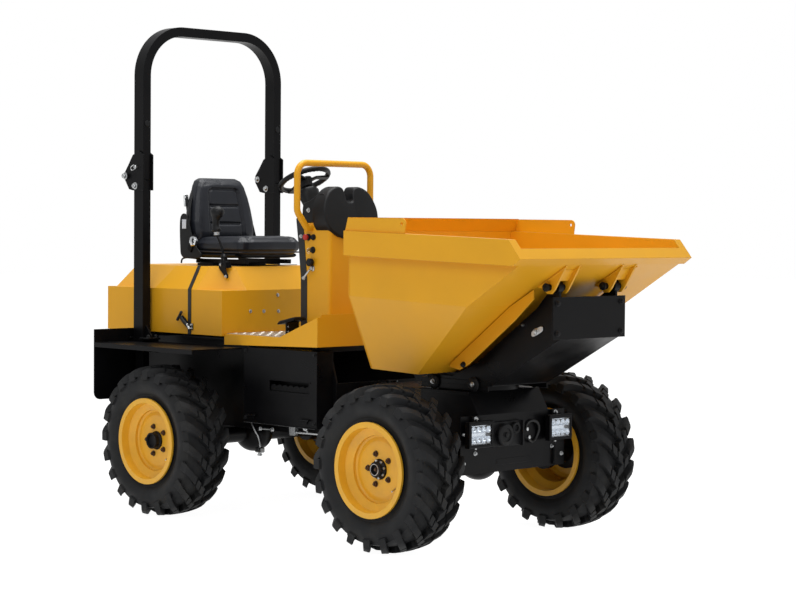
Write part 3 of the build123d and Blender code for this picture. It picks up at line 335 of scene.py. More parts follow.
def block(low: tuple, high: tuple, bevel: float = 0.0) -> Shell:
    """Make a box between two corners: a slab on its own middle.

    Args:
        low: one corner.
        high: the opposite corner.
        bevel: width of the chamfer round its top and its bottom.

    Returns:
        The skin.
    """
    lo, hi = np.minimum(low, high), np.maximum(low, high)
    c, s = (lo + hi) / 2, (hi - lo) / 2
    shell = slab(rectangle(-s[:2], s[:2]), 2 * s[2], bevel)
    return Shell(shell.points + c, shell.faces)


def bolt(size: float, length: float = 0.0, washer: bool = True) -> Shell:
    """Hexagon head on a washer, standing along its own Z: a six-sided turned profile.

    Args:
        size: half the distance across the head's corners.
        length: stud that stands out of the head.
        washer: put a round washer under it.

    Returns:
        The skin.
    """
    shells = [turned([(size, 0.1 * size), (size, 1.0 * size), (0.82 * size, 1.2 * size)], 6)]
    if washer:
        disc = [(1.35 * size, 0), (1.35 * size, 0.18 * size), (1.25 * size, 0.24 * size)]
        shells.append(turned(disc, 20))
    if length:
        shells.append(turned([(0.5 * size, size), (0.5 * size, size + length),
                              (0.4 * size, size + length * 1.2)], 12))
    return joined(shells)


def on_flanks(shell: Shell, y: float, spots: tuple) -> list:
    """Stand copies of a skin at spots (x, z) on both flanks, y out from the middle."""
    return [shell.on_side((x, side * y, z), side) for x, z in spots for side in SIDES]


def joined(shells: list) -> Shell:
    """Put several skins together, each face list counted on from the last.

    Args:
        shells: the skins.

    Returns:
        One skin.
    """
    points, faces, start = [], [], 0
    for shell in shells:
        points.append(shell.points)
        faces += [[i + start for i in face] for face in shell.faces]
        start += len(shell.points)
    return Shell(np.vstack(points), faces)


def make_piece(name: str, shells: list, body: str, finish: "Finish",
               smooth: float = 35.0) -> bpy.types.Object:
    """Put skins into one mesh that rides on a body.

    Args:
        name: the piece's name.
        shells: its skins.
        body: the body that carries it.
        finish: its finish.
        smooth: edges sharper than this many degrees stay sharp.

    Returns:
        The object, at the origin and unturned.
    """
    shell = joined(shells)
    mesh = bpy.data.meshes.new(name)
    mesh.from_pydata(shell.points.tolist(), [], shell.faces)
    tidy = bmesh.new()
    tidy.from_mesh(mesh)
    bmesh.ops.remove_doubles(tidy, verts=tidy.verts, dist=1e-6)
    bmesh.ops.recalc_face_normals(tidy, faces=tidy.faces)
    tidy.to_mesh(mesh)
    tidy.free()
    mesh.shade_smooth()
    mesh.set_sharp_from_angle(angle=np.radians(smooth))
    piece = bpy.data.objects.new(name, mesh)
    bpy.context.collection.objects.link(piece)
    mesh.materials.append(finish.material())
    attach(piece, body)
    LOG.info("%s: %d faces on %s", name, len(mesh.polygons), body)
    return piece


@dataclass
class SubAssembly:
    """A group of pieces, most of which ride on one body."""

    body: str = "rear_frame"

    def add(self, name: str, shells: list, finish: "Finish", smooth: float = 35.0,
            body: str = "") -> bpy.types.Object:
        """Make one piece on this group's body, or on another one that is named."""
        return make_piece(name, shells, body or self.body, finish, smooth)


# ---------------------------------------------------------------- finishes


def linear(hex_code: str) -> tuple:
    """Turn an sRGB hex value to linear: ((c + 0.055) / 1.055) ** 2.4, or c / 12.92 near black."""
    c = np.array([int(hex_code[i:i + 2], 16) for i in (1, 3, 5)]) / 255
    return (*np.where(c <= 0.04045, c / 12.92, ((c + 0.055) / 1.055) ** 2.4).tolist(), 1.0)


def add_node(tree: bpy.types.NodeTree, kind: str, settings: dict | None = None,
             links: dict | None = None) -> bpy.types.Node:
    """Add a shader node.

    Args:
        tree: the node tree.
        kind: the node's type name.
        settings: attributes (lower case) and input values (input name or number).
        links: input name or number to the output that feeds it.

    Returns:
        The node.
    """
    node = tree.nodes.new(kind)
    for key, value in (settings or {}).items():
        if isinstance(key, str) and key.islower():
            setattr(node, key, value)
        else:
            node.inputs[key].default_value = value
    for key, source in (links or {}).items():
        tree.links.new(source, node.inputs[key])
    return node


@dataclass(frozen=True)
class Finish:
    """A surface: its colour, its gloss, the grain that the way of making leaves, and its dirt and wear."""

    name: str
    slot: str
    colour: str
    metallic: float = 0.0
    roughness: float = 0.5
    roughness_spread: float = 0.08
    grain_mm: float = 1.0
    grain_depth_mm: float = 0.02
    mottle_mm: float = 120.0
    mottle: float = 0.06
    dust: str | None = None
    dust_amount: float = 0.0
    dust_top: float = 1.4
    edge_mm: float = 0.0
    wear: str | None = None
    wear_mm: float = 2.5
    sheen: float = 0.0
    ior: float = 1.5

    def material(self) -> bpy.types.Material:
        """Return this finish's material, made once."""
        found = bpy.data.materials.get(self.name)
        return found or self.build()

    def build(self) -> bpy.types.Material:
        """Make the node tree: mottled colour, dust, edge wear, broken gloss and grain bump.

        Returns:
            The material.
        """
        made = bpy.data.materials.new(self.name)
        made.use_nodes = True
        tree = made.node_tree
        tree.nodes.clear()
        place = add_node(tree, "ShaderNodeTexCoord").outputs["Object"]
        broad = add_node(tree, "ShaderNodeTexNoise", {"Scale": 1000 / self.mottle_mm, "Detail": 4.0},
                         {"Vector": place}).outputs["Fac"]
        shade = add_node(tree, "ShaderNodeMapRange", {"From Min": NOISE_LOW, "From Max": NOISE_HIGH,
                                                      "To Min": 1 - self.mottle, "To Max": 1 + self.mottle},
                         {"Value": broad}).outputs["Result"]
        colour = add_node(tree, "ShaderNodeVectorMath", {"operation": "SCALE", 0: linear(self.colour)[:3]},
                          {"Scale": shade}).outputs["Vector"]
        if self.dust:
            colour = self.dusted(tree, place, colour)
        if self.wear:
            colour = self.worn(tree, place, colour)
        gloss = add_node(tree, "ShaderNodeMapRange",
                         {"From Min": NOISE_LOW, "From Max": NOISE_HIGH,
                          "To Min": max(self.roughness - self.roughness_spread, 0.02),
                          "To Max": min(self.roughness + self.roughness_spread, 1.0)},
                         {"Value": broad}).outputs["Result"]
        fine = add_node(tree, "ShaderNodeTexNoise", {"Scale": 1000 / self.grain_mm, "Detail": 2.0},
                        {"Vector": place}).outputs["Fac"]
        normal = add_node(tree, "ShaderNodeBump", {"Distance": self.grain_depth_mm * MM, "Strength": 1.0},
                          {"Height": fine})
        if self.edge_mm:
            soft = add_node(tree, "ShaderNodeBevel", {"samples": 4, "Radius": self.edge_mm * MM})
            tree.links.new(soft.outputs["Normal"], normal.inputs["Normal"])
        surface = add_node(tree, "ShaderNodeBsdfPrincipled",
                           {"Metallic": self.metallic, "Sheen Weight": self.sheen, "IOR": self.ior},
                           {"Base Color": colour, "Roughness": gloss, "Normal": normal.outputs["Normal"]})
        self.extend(tree, surface, place)
        add_node(tree, "ShaderNodeOutputMaterial", {}, {"Surface": surface.outputs["BSDF"]})
        return made

    def extend(self, tree: bpy.types.NodeTree, surface: bpy.types.Node,
               place: bpy.types.NodeSocket) -> None:
        """Leave room for what one kind of finish adds."""

    def dusted(self, tree: bpy.types.NodeTree, place: bpy.types.NodeSocket,
               colour: bpy.types.NodeSocket) -> bpy.types.NodeSocket:
        """Lay dust in patches, thicker near the ground: patch * (1 at the ground to 0.15 at dust_top).

        Args:
            tree: the node tree.
            place: object coordinates.
            colour: the clean colour.

        Returns:
            The dusted colour.
        """
        patch = add_node(tree, "ShaderNodeTexNoise", {"Scale": 9.0, "Detail": 6.0, "Roughness": 0.65},
                         {"Vector": place}).outputs["Fac"]
        height = add_node(tree, "ShaderNodeSeparateXYZ", {}, {"Vector": place}).outputs["Z"]
        low = add_node(tree, "ShaderNodeMapRange",
                       {"From Min": 0.0, "From Max": self.dust_top, "To Min": 1.0, "To Max": 0.15},
                       {"Value": height}).outputs["Result"]
        rough = add_node(tree, "ShaderNodeMapRange",
                         {"From Min": 0.45, "From Max": 0.75, "To Min": 0.0, "To Max": self.dust_amount},
                         {"Value": patch}).outputs["Result"]
        amount = add_node(tree, "ShaderNodeMath", {"operation": "MULTIPLY"},
                          {0: low, 1: rough}).outputs["Value"]
        return add_node(tree, "ShaderNodeMix", {"data_type": "RGBA", 7: linear(self.dust)},
                        {0: amount, 6: colour}).outputs[2]

    def worn(self, tree: bpy.types.NodeTree, place: bpy.types.NodeSocket,
             colour: bpy.types.NodeSocket) -> bpy.types.NodeSocket:
        """Rub the colour off the edges: where the rounded normal leaves the flat one, broken by noise.

        Args:
            tree: the node tree.
            place: object coordinates.
            colour: the unworn colour.

        Returns:
            The worn colour.
        """
        flat = add_node(tree, "ShaderNodeNewGeometry").outputs["Normal"]
        soft = add_node(tree, "ShaderNodeBevel",
                        {"samples": 4, "Radius": self.wear_mm * MM}).outputs["Normal"]
        same = add_node(tree, "ShaderNodeVectorMath", {"operation": "DOT_PRODUCT"},
                        {0: flat, 1: soft}).outputs["Value"]
        patch = add_node(tree, "ShaderNodeTexNoise", {"Scale": 60.0, "Detail": 5.0},
                         {"Vector": place}).outputs["Fac"]
        edge = add_node(tree, "ShaderNodeMapRange", {"From Min": 0.97, "From Max": 0.80, "To Min": 0.0,
                                                     "To Max": 1.0}, {"Value": same}).outputs["Result"]
        broken = add_node(tree, "ShaderNodeMapRange", {"From Min": 0.56, "From Max": 0.66},
                          {"Value": patch})
        amount = add_node(tree, "ShaderNodeMath", {"operation": "MULTIPLY"},
                          {0: edge, 1: broken.outputs["Result"]}).outputs["Value"]
        return add_node(tree, "ShaderNodeMix", {"data_type": "RGBA", 7: linear(self.wear)},
                        {0: amount, 6: colour}).outputs[2]


@dataclass(frozen=True)
class LampGlass(Finish):
    """Clear moulded lens: lets light through and keeps a sharp reflection."""

    def extend(self, tree: bpy.types.NodeTree, surface: bpy.types.Node,
               place: bpy.types.NodeSocket) -> None:
        """Let light through the lens."""
        surface.inputs["Transmission Weight"].default_value = 1.0
        surface.inputs["IOR"].default_value = 1.45


# Sprayed gloss enamel on sheet steel: faint orange peel about 3 mm across, soft reflections and
# rounded paint edges.
YELLOW = Finish("yellow_enamel_sprayed", "yellow_paint", "#E6A61E", roughness=0.36, roughness_spread=0.06,
                grain_mm=3.0, grain_depth_mm=0.012, mottle_mm=260, mottle=0.03, edge_mm=2.5, wear="#B9822A",
                dust="#A98A52", dust_amount=0.10, ior=1.36)
# Wheel enamel, the same paint on a spun rim.
RIM_YELLOW = Finish("yellow_enamel_on_spun_rim", "yellow_paint", "#EBB02C", roughness=0.40, grain_mm=2.5,
                    grain_depth_mm=0.012, mottle_mm=90, mottle=0.04, edge_mm=2.0,
                    dust="#8A6A3A", dust_amount=0.2)
# Satin black powder coat, baked: pebbly about 1.5 mm across.
BLACK = Finish("black_powder_coat", "black_paint", "#0A0A0C", roughness=0.34, grain_mm=1.5,
               grain_depth_mm=0.02, mottle_mm=150, mottle=0.15, edge_mm=2.5, wear="#38383A", dust="#3A3733",
               dust_amount=0.07, ior=1.22)
# Moulded tyre rubber: matt and greyish where it has met dust.
RUBBER = Finish("tyre_rubber_moulded", "rubber", "#17181A", roughness=0.66, roughness_spread=0.1,
                grain_mm=2.2, grain_depth_mm=0.06, mottle_mm=70, mottle=0.16, edge_mm=3.0, dust="#37352F",
                dust_amount=0.35, ior=1.35)
# Extruded rubber of the hood seal and the console edging.
EDGING = Finish("extruded_rubber_edging", "seal_rubber", "#0E0F10", roughness=0.55,
                grain_mm=1.0, grain_depth_mm=0.01)
# Injection-moulded polypropylene with a leather-like grain 1.2 mm across.
PLASTIC = Finish("moulded_polypropylene", "black_plastic", "#0D0E10", roughness=0.46, grain_mm=1.2,
                 grain_depth_mm=0.05, mottle_mm=80, mottle=0.08, edge_mm=3.0, ior=1.32)
# Vinyl-coated seat cloth: embossed grain 1.6 mm across, a low sheen where it is stretched.
VINYL = Finish("vinyl_coated_cloth", "vinyl", "#10141D", roughness=0.38, roughness_spread=0.07,
               grain_mm=1.6, grain_depth_mm=0.08, mottle_mm=60, mottle=0.1, sheen=0.05, ior=1.40)
# Zinc-plated fasteners: pale grey, faintly cloudy.
ZINC = Finish("zinc_plated_steel", "steel", "#B9BBBC", metallic=1.0, roughness=0.32, grain_mm=0.8,
              grain_depth_mm=0.01, mottle_mm=8, mottle=0.12)
# Browned steel of the wheel bolts.
BROWNED = Finish("browned_bolt_steel", "steel", "#5B4433", metallic=0.8, roughness=0.45, grain_mm=0.8,
                 grain_depth_mm=0.02, mottle_mm=6, mottle=0.25)
# Hard chrome on ground rods and bright trim.
CHROME = Finish("hard_chrome", "chrome", "#C9CBCD", metallic=1.0, roughness=0.12, roughness_spread=0.04,
                grain_mm=0.5, grain_depth_mm=0.002, mottle_mm=30, mottle=0.03)
# Rolled aluminium tread plate, scuffed by boots.
TREAD_PLATE = Finish("aluminium_tread_plate", "alu_tread", "#B7B3AC", metallic=0.9, roughness=0.38,
                     roughness_spread=0.12, grain_mm=2.0, grain_depth_mm=0.02, mottle_mm=45, mottle=0.12,
                     dust="#8D7A60", dust_amount=0.3)
# Engine and hub castings under matt black paint.
CASTING = Finish("painted_sand_casting", "cast", "#101012", roughness=0.55, grain_mm=2.5,
                 grain_depth_mm=0.12, mottle_mm=60, mottle=0.15, edge_mm=3.0, ior=1.32)
# Vacuum-coated reflector of a work light.
REFLECTOR = Finish("aluminised_reflector", "lamp", "#E9EDF2", metallic=0.9, roughness=0.18, grain_mm=0.7,
                   grain_depth_mm=0.004, mottle_mm=8, mottle=0.05)
# Clear polycarbonate lens.
LENS = LampGlass("polycarbonate_lens", "lamp", "#F4F7FA", roughness=0.04, roughness_spread=0.02,
                 grain_mm=4.0, grain_depth_mm=0.01, mottle_mm=40, mottle=0.02)
# White vinyl sheet of a blank tag.
TAG = Finish("white_vinyl_tag", "vinyl", "#D8DCE4", roughness=0.5, grain_mm=0.8, grain_depth_mm=0.01,
             mottle_mm=20, mottle=0.03)
# Dyed nylon of a push button.
RED = Finish("red_nylon_button", "black_plastic", "#B3261D", roughness=0.4, grain_mm=0.6,
             grain_depth_mm=0.01, mottle_mm=10, mottle=0.05)


# ---------------------------------------------------------------- studio


class Backdrop(Enum):
    """Colours of the studio."""

    FLOOR = "#F4F4F3"
    SKY = "#FFFFFF"


@dataclass
class Studio:
    """Camera, pale floor and soft light."""

    camera_at: tuple = (7.163, -6.893, 1.445)
    azimuth: float = 46.14
    pitch: float = 1.989
    roll: float = 0.399
    lens_mm: float = 92.58
    shift: tuple = (0.0470, -0.0015)
    floor_half: float = 40.0
    world_strength: float = 0.38
    mirror_strength: float = 0.62
    floor_glow: float = 1.35
    floor_seen: float = 0.72        # share of the glow that the camera sees
    floor_mirrored: float = 0.5     # share of the glow that metal and glass show
    aim: tuple = (0.0, 0.0, 0.9)    # what the lamps point at
    lamps: tuple = (            # name, place, size in metres, watts
        ("key", (2.5, -5.5, 5.5), 4.0, 105.0),
        ("front", (6.5, 0.5, 3.2), 3.5, 34.0),
        ("top", (-0.5, 0.5, 6.5), 6.0, 430.0),
    )

    def add_camera(self) -> None:
        """Stand the camera where the view is taken from."""
        a, e, r = np.radians([self.azimuth, self.pitch, self.roll])
        back = np.array([np.sin(a) * np.cos(e), -np.cos(a) * np.cos(e), np.sin(e)])
        right = np.array([np.cos(a), np.sin(a), 0])
        up = np.cross(back, right)
        right, up = np.cos(r) * right + np.sin(r) * up, np.cos(r) * up - np.sin(r) * right
        data = bpy.data.cameras.new("camera")
        data.lens, data.sensor_width = self.lens_mm, 36.0
        data.shift_x, data.shift_y = self.shift
        data.clip_start, data.clip_end = 0.1, 200.0
        camera = bpy.data.objects.new("camera", data)
        place = np.eye(4)
        place[:3, :3] = np.stack([right, up, back], 1)
        place[:3, 3] = self.camera_at
        camera.matrix_world = Matrix(place.tolist())
        bpy.context.collection.objects.link(camera)
        bpy.context.scene.camera = camera

    def add_floor(self) -> None:
        """Lay the floor, which the camera sees as plain white and which still takes shadows."""
        h = self.floor_half
        mesh = bpy.data.meshes.new("floor")
        mesh.from_pydata([(x, y, 0) for x, y in rectangle((-h, -h), (h, h))], [], [(0, 1, 2, 3)])
        floor = bpy.data.objects.new("floor", mesh)
        bpy.context.collection.objects.link(floor)
        made = bpy.data.materials.new("studio_floor")
        made.use_nodes = True
        tree = made.node_tree
        tree.nodes.clear()
        paper = add_node(tree, "ShaderNodeBsdfDiffuse", {"Color": linear(Backdrop.FLOOR.value)})
        glow = add_node(tree, "ShaderNodeEmission",
                        {"Color": linear(Backdrop.SKY.value), "Strength": self.floor_glow})
        path = add_node(tree, "ShaderNodeLightPath")
        glass = add_node(tree, "ShaderNodeMath", {"operation": "MAXIMUM"},
                         {0: path.outputs["Is Glossy Ray"], 1: path.outputs["Is Transmission Ray"]})
        mirror = add_node(tree, "ShaderNodeMath", {"operation": "MULTIPLY", 1: self.floor_mirrored},
                          {0: glass.outputs["Value"]})
        straight = add_node(tree, "ShaderNodeMath", {"operation": "MULTIPLY", 1: self.floor_seen},
                            {0: path.outputs["Is Camera Ray"]})
        seen = add_node(tree, "ShaderNodeMath", {"operation": "MAXIMUM"},
                        {0: straight.outputs["Value"], 1: mirror.outputs["Value"]})
        mix = add_node(tree, "ShaderNodeMixShader", {},
                       {0: seen.outputs["Value"], 1: paper.outputs["BSDF"], 2: glow.outputs["Emission"]})
        add_node(tree, "ShaderNodeOutputMaterial", {}, {"Surface": mix.outputs["Shader"]})
        mesh.materials.append(made)

    def add_light(self) -> None:
        """Hang the lamps and set the world, white to the camera and soft on the object."""
        world = bpy.data.worlds.new("studio")
        world.use_nodes = True
        tree = world.node_tree
        tree.nodes.clear()
        path = add_node(tree, "ShaderNodeLightPath")
        seen = add_node(tree, "ShaderNodeMath", {"operation": "MAXIMUM"},
                        {0: path.outputs["Is Camera Ray"], 1: path.outputs["Is Transmission Ray"]})
        mirror = add_node(tree, "ShaderNodeMath", {"operation": "MULTIPLY", 1: self.mirror_strength},
                          {0: path.outputs["Is Glossy Ray"]})
        bright = add_node(tree, "ShaderNodeMath", {"operation": "MAXIMUM"},
                          {0: seen.outputs["Value"], 1: mirror.outputs["Value"]})
        strength = add_node(tree, "ShaderNodeMath", {"operation": "MAXIMUM", 1: self.world_strength},
                            {0: bright.outputs["Value"]})
        sky = add_node(tree, "ShaderNodeBackground", {"Color": linear(Backdrop.SKY.value)},
                       {"Strength": strength.outputs["Value"]})
        add_node(tree, "ShaderNodeOutputWorld", {}, {"Surface": sky.outputs["Background"]})
        bpy.context.scene.world = world
        for name, place, size, watts in self.lamps:
            data = bpy.data.lights.new(name, "AREA")
            data.shape, data.size, data.energy = "DISK", size, watts
            lamp = bpy.data.objects.new(name, data)
            aim = Vector(self.aim) - Vector(place)
            turn = aim.to_track_quat("-Z", "Y").to_matrix().to_4x4()
            lamp.matrix_world = Matrix.Translation(place) @ turn
            bpy.context.collection.objects.link(lamp)


# ---------------------------------------------------------------- wheels


@dataclass
class TreadTyre:
    """Traction tyre: a ribbed carcass with two rows of chevron bars that lead forward at the centre."""

    corner: str
    centre: tuple
    radius: float = 0.372
    half_width: float = 0.132
    bead_radius: float = 0.2125
    bars: int = 20
    bar_height: float = 0.031
    bar_sweep: float = 0.34          # angle from shoulder to centre, in radians
    drop: float = 0.016              # of the crown from its middle to its edge
    wall_inset: float = 0.020        # of the crown's edge from the tyre's full width
    on_wall: float = 0.16            # share of a bar that lies on the side wall
    wall_foot: tuple = (0.300, 0.306)    # radius where a bar starts, at its base and its top
    rounding: float = 0.012          # how much lower a bar is at its shoulder, and how far past the centre
    groove: float = 0.016            # depth of the cuts across a bar

    def crown(self, y: np.ndarray) -> np.ndarray:
        """Return the radius of the bar tops at y: radius - drop * (y / half width) ** 2.4."""
        return self.radius - self.drop * np.abs(y / self.half_width) ** 2.4

    def carcass(self) -> Shell:
        """Turn the casing: round shoulders, a full wall with rings, and the bead on the rim.

        Returns:
            The skin, round its own Z.
        """
        w, base = self.half_width - self.wall_inset, self.radius - self.bar_height
        t = np.linspace(-1, 1, 25)
        crown = np.stack([base - self.drop * np.abs(t) ** 2.4, t * w], 1)
        u = np.linspace(0, 1, 22)[1:]
        wall_r = crown[-1, 0] + (self.bead_radius - crown[-1, 0]) * u
        bulge = w + 0.016 * np.sin(np.pi * np.clip(u * 1.15, 0, 1)) - 0.012 * u**3
        rings = 0.0014 * (np.abs(((u * 11) % 1.0) - 0.5) > 0.32) * (u > 0.45)
        wall = np.stack([wall_r, bulge + rings], 1)
        inner = [(self.bead_radius - 0.012, side * (w - 0.010)) for side in (1, -1)]
        profile = np.vstack([crown, wall, inner, wall[::-1] * (1, -1)])
        around = circle(1.0, 96)
        r, y = profile[:, :1], np.broadcast_to(profile[:, 1:], (len(profile), 96))
        return grid_skin(np.stack([r * around[:, 1], y, r * around[:, 0]], -1),
                         wrap_rows=True, wrap_columns=True)

    def bar(self, side: int) -> np.ndarray:
        """Work out one bar: a tapered ridge from the side wall over the shoulder to the centre line.

        The station s runs from 0 on the wall to 1 past the centre. Two steps across the ridge part it
        into three blocks, each a little narrower and set a little ahead.

        Args:
            side: -1 or 1, the shoulder it starts from.

        Returns:
            Points (stations, section, 3) about the axle.
        """
        s = np.array([0.0, 0.05, 0.10, 0.16, 0.22, 0.30, 0.40, 0.50, 0.545, 0.55, 0.59, 0.595, 0.68, 0.755,
                      0.76, 0.80, 0.805, 0.88, 0.96, 1.0])
        wall, climb = s < self.on_wall, s / self.on_wall
        over = np.clip((s - self.on_wall) / (1 - self.on_wall), 0, 1)
        w = self.half_width
        y = side * np.where(wall, w - 0.004 * climb, (w - 0.004) * (1 - over) - self.rounding * over)
        low_base, low_top = self.wall_foot
        shoulder = self.crown(np.array(w)) - self.rounding
        top = np.where(wall, low_top + (shoulder - low_top) * climb**0.8,
                       self.crown(y) - self.rounding * np.clip(1 - over * 9, 0, 1))
        angle = self.bar_sweep * over**0.9
        cuts = ((s > 0.548) & (s < 0.592)) | ((s > 0.758) & (s < 0.802))
        top = np.where(cuts, top - self.groove, top)
        step = np.where(s > 0.57, 0.006, 0.0) + np.where(s > 0.78, 0.006, 0.0)
        width = np.interp(s, [0, 0.10, 0.22, 0.5, 1.0], [0.052, 0.050, 0.040, 0.043, 0.047])
        base = np.where(wall, low_base, self.radius - self.bar_height - 0.022)
        across = np.array([-0.60, -0.50, -0.45, 0.45, 0.50, 0.60])
        rise = np.array([0.0, 0.90, 1.0, 1.0, 0.90, 0.0])
        r = base[:, None] + (top - base)[:, None] * rise
        theta = angle[:, None] + (across * width[:, None] + step[:, None]) / self.radius
        inward = np.where(wall, 0.016, 0.0)[:, None] * (1 - rise)
        return np.stack([r * np.sin(theta), y[:, None] - side * inward, r * np.cos(theta)], -1)

    def build(self, finish: Finish) -> bpy.types.Object:
        """Set the bars round the casing, the two rows half a pitch apart.

        Args:
            finish: the rubber.

        Returns:
            The piece, which stands for the plain tyre.
        """
        shells = [self.carcass()]
        pitch = 2 * np.pi / self.bars
        for side in SIDES:
            bar = self.bar(side)
            for k in range(self.bars):
                a = (k + (0.5 if side > 0 else 0.0)) * pitch
                turn = np.array([[np.cos(a), 0, -np.sin(a)], [0, 1, 0], [np.sin(a), 0, np.cos(a)]])
                shells.append(grid_skin(bar @ turn, wrap_columns=True, caps=True))
        shells = [Shell(s.points + np.array(self.centre), s.faces) for s in shells]
        tyre = make_piece(f"tread_tyre_{self.corner}", shells, f"wheel_{self.corner}", finish, 28)
        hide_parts(f"tyre_{self.corner}")
        return tyre


@dataclass
class WheelCentre:
    """Bolts, valve and hub end in the dish of one wheel."""

    corner: str
    centre: tuple
    side: int
    disc_y: float = 0.052
    bolt_circle: float = 0.070
    bolts: int = 5

    def add(self, name: str, shell: Shell, y: float, finish: Finish, radius: float = 0.0, count: int = 1,
            start: float = 0.0, smooth: float = 35.0) -> None:
        """Make a piece of one skin on the wheel's axis, or of copies in a ring round it.

        Args:
            name: the piece's name, without its corner.
            shell: skin that stands along its own Z.
            y: how far outboard of the disc.
            finish: its finish.
            radius: of the ring.
            count: number of copies.
            start: angle of the first, in degrees.
            smooth: edges sharper than this many degrees stay sharp.
        """
        out = []
        for k in range(count):
            a = np.radians(start + 360 * k / count)
            spot = (radius * np.cos(a), self.side * (self.disc_y + y), radius * np.sin(a))
            out.append(shell.on_side(tuple(np.array(self.centre) + spot), self.side))
        make_piece(f"{name}_{self.corner}", out, f"wheel_{self.corner}", finish, smooth)

    def build(self) -> None:
        """Make the wheel bolts, the valve and the hub's end."""
        self.add("wheel_bolts", bolt(0.0105, 0.006), 0.0, BROWNED, self.bolt_circle, self.bolts, 180, 30)
        x, y, z = self.centre
        foot = (x + 0.098, y + self.side * (self.disc_y - 0.004), z - 0.075)
        tip = (foot[0] + 0.006, foot[1] + self.side * 0.030, foot[2] - 0.012)
        make_piece(f"valve_{self.corner}", [tube([foot, tip], 0.0035, 10)], f"wheel_{self.corner}", ZINC)
        if self.corner.startswith("front"):
            collar = [(0.030, 0), (0.043, 0), (0.043, 0.006), (0.036, 0.012), (0.034, 0.030),
                      (0.026, 0.034), (0.022, 0.030), (0.022, 0.020)]
            self.add("hub_collar", turned(collar, 40), -0.002, CASTING)
            snap = sweep(ring(0.0020, 8), circle(0.0245, 48), closed=True)
            self.add("hub_ring", snap, 0.032, ZINC)
            self.add("hub_plug", bolt(0.0085, 0.003), 0.018, BROWNED)
            self.add("hub_screws", bolt(0.0062, 0, False), 0.008, ZINC, 0.0385, 8, 12)
        else:
            cup = [(0.018, 0.0), (0.040, 0.0), (0.040, 0.020), (0.037, 0.023), (0.033, 0.020),
                   (0.031, 0.006), (0.018, 0.004)]
            self.add("hub_cup", turned(cup, 40), 0.014, CASTING)


# ---------------------------------------------------------------- seat


VOXEL = 0.0055              # size of the start shape's faces
CLOTH_FRAMES = 20           # frames that the cloth swells for
CLOTH_PRESSURE, CLOTH_STIFFNESS = 4.0, 12.0
EVEN_PASSES = 14            # rounds of taking the neighbours' mean
EVEN_SHARE = 0.78           # share of the swelling that is evened out
QUICK_SWELL = 0.8           # share of the cap that the swelling is first set to, before the cloth's own swelling replaces it


def padded_piece(name: str, shell: Shell, body: str, finish: Finish, cap: float, channels: "Channels") -> bpy.types.Object:
    """Blow up a stuffed pad from a slightly small shape, then press its seams in.

    The cloth's swelling is taken along the start shape's normals, share * its mean over the
    neighbourhood + (1 - share) * itself, so the cover is taut with a little slackness left.

    Args:
        name: the piece's name.
        shell: the start shape.
        body: the body that carries it.
        finish: its cover.
        cap: the furthest a point may move while it swells.
        channels: what presses the seams in afterwards.

    Returns:
        The pad.
    """
    mesh = bpy.data.meshes.new(name)
    mesh.from_pydata(shell.points.tolist(), [], shell.faces)
    pad = bpy.data.objects.new(name, mesh)
    bpy.context.collection.objects.link(pad)
    remesh = pad.modifiers.new("remesh", "REMESH")
    remesh.mode, remesh.voxel_size = "VOXEL", VOXEL
    apply_modifiers(pad)
    start = vertex_array(pad.data)
    out = np.empty(start.size)
    pad.data.vertices.foreach_get("normal", out)
    out = out.reshape(-1, 3)
    edges = np.empty(2 * len(pad.data.edges), int)
    pad.data.edges.foreach_get("vertices", edges)
    near, far = edges.reshape(-1, 2).T
    count = np.bincount(near, minlength=len(start)) + np.bincount(far, minlength=len(start))
    swell = np.full(len(start), QUICK_SWELL * cap)
    cloth = pad.modifiers.new("cloth", "CLOTH")
    cloth.settings.use_pressure = True
    cloth.settings.uniform_pressure_force = CLOTH_PRESSURE
    cloth.settings.effector_weights.gravity = 0.0
    cloth.settings.tension_stiffness = cloth.settings.compression_stiffness = CLOTH_STIFFNESS
    cloth.point_cache.frame_start, cloth.point_cache.frame_end = 1, CLOTH_FRAMES
    for frame in range(1, CLOTH_FRAMES + 1):
        bpy.context.scene.frame_set(frame)
    apply_modifiers(pad)
    swell = np.clip(((vertex_array(pad.data) - start) * out).sum(1), 0, cap)
    bpy.context.scene.frame_set(1)
    even = swell
    for _ in range(EVEN_PASSES):
        even = (np.bincount(near, even[far], len(start)) + np.bincount(far, even[near], len(start))) / count
    swell = EVEN_SHARE * even + (1 - EVEN_SHARE) * swell
    pad.data.vertices.foreach_set("co", (start + swell[:, None] * out).ravel())
    smooth = pad.modifiers.new("subdivision", "SUBSURF")
    smooth.levels = smooth.render_levels = 1
    apply_modifiers(pad)
    pad.data.vertices.foreach_set("co", channels.press(vertex_array(pad.data)).ravel())
    pad.data.update()
    pad.data.shade_smooth()
    pad.data.materials.clear()
    pad.data.materials.append(finish.material())
    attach(pad, body)
    LOG.info("%s: %d faces, padded", name, len(pad.data.polygons))
    return pad


def vertex_array(mesh: bpy.types.Mesh) -> np.ndarray:
    """Return the mesh's points as an array (n, 3).

    Args:
        mesh: the mesh.

    Returns:
        Its points.
    """
    flat = np.empty(len(mesh.vertices) * 3)
    mesh.vertices.foreach_get("co", flat)
    return flat.reshape(-1, 3)


def apply_modifiers(piece: bpy.types.Object) -> None:
    """Bake a piece's modifiers into its mesh and drop them.

    Args:
        piece: the object, which keeps its name and place.
    """
    graph = bpy.context.evaluated_depsgraph_get()
    baked = bpy.data.meshes.new_from_object(piece.evaluated_get(graph), depsgraph=graph)
    piece.modifiers.clear()
    old = piece.data
    piece.data = baked
    bpy.data.meshes.remove(old)


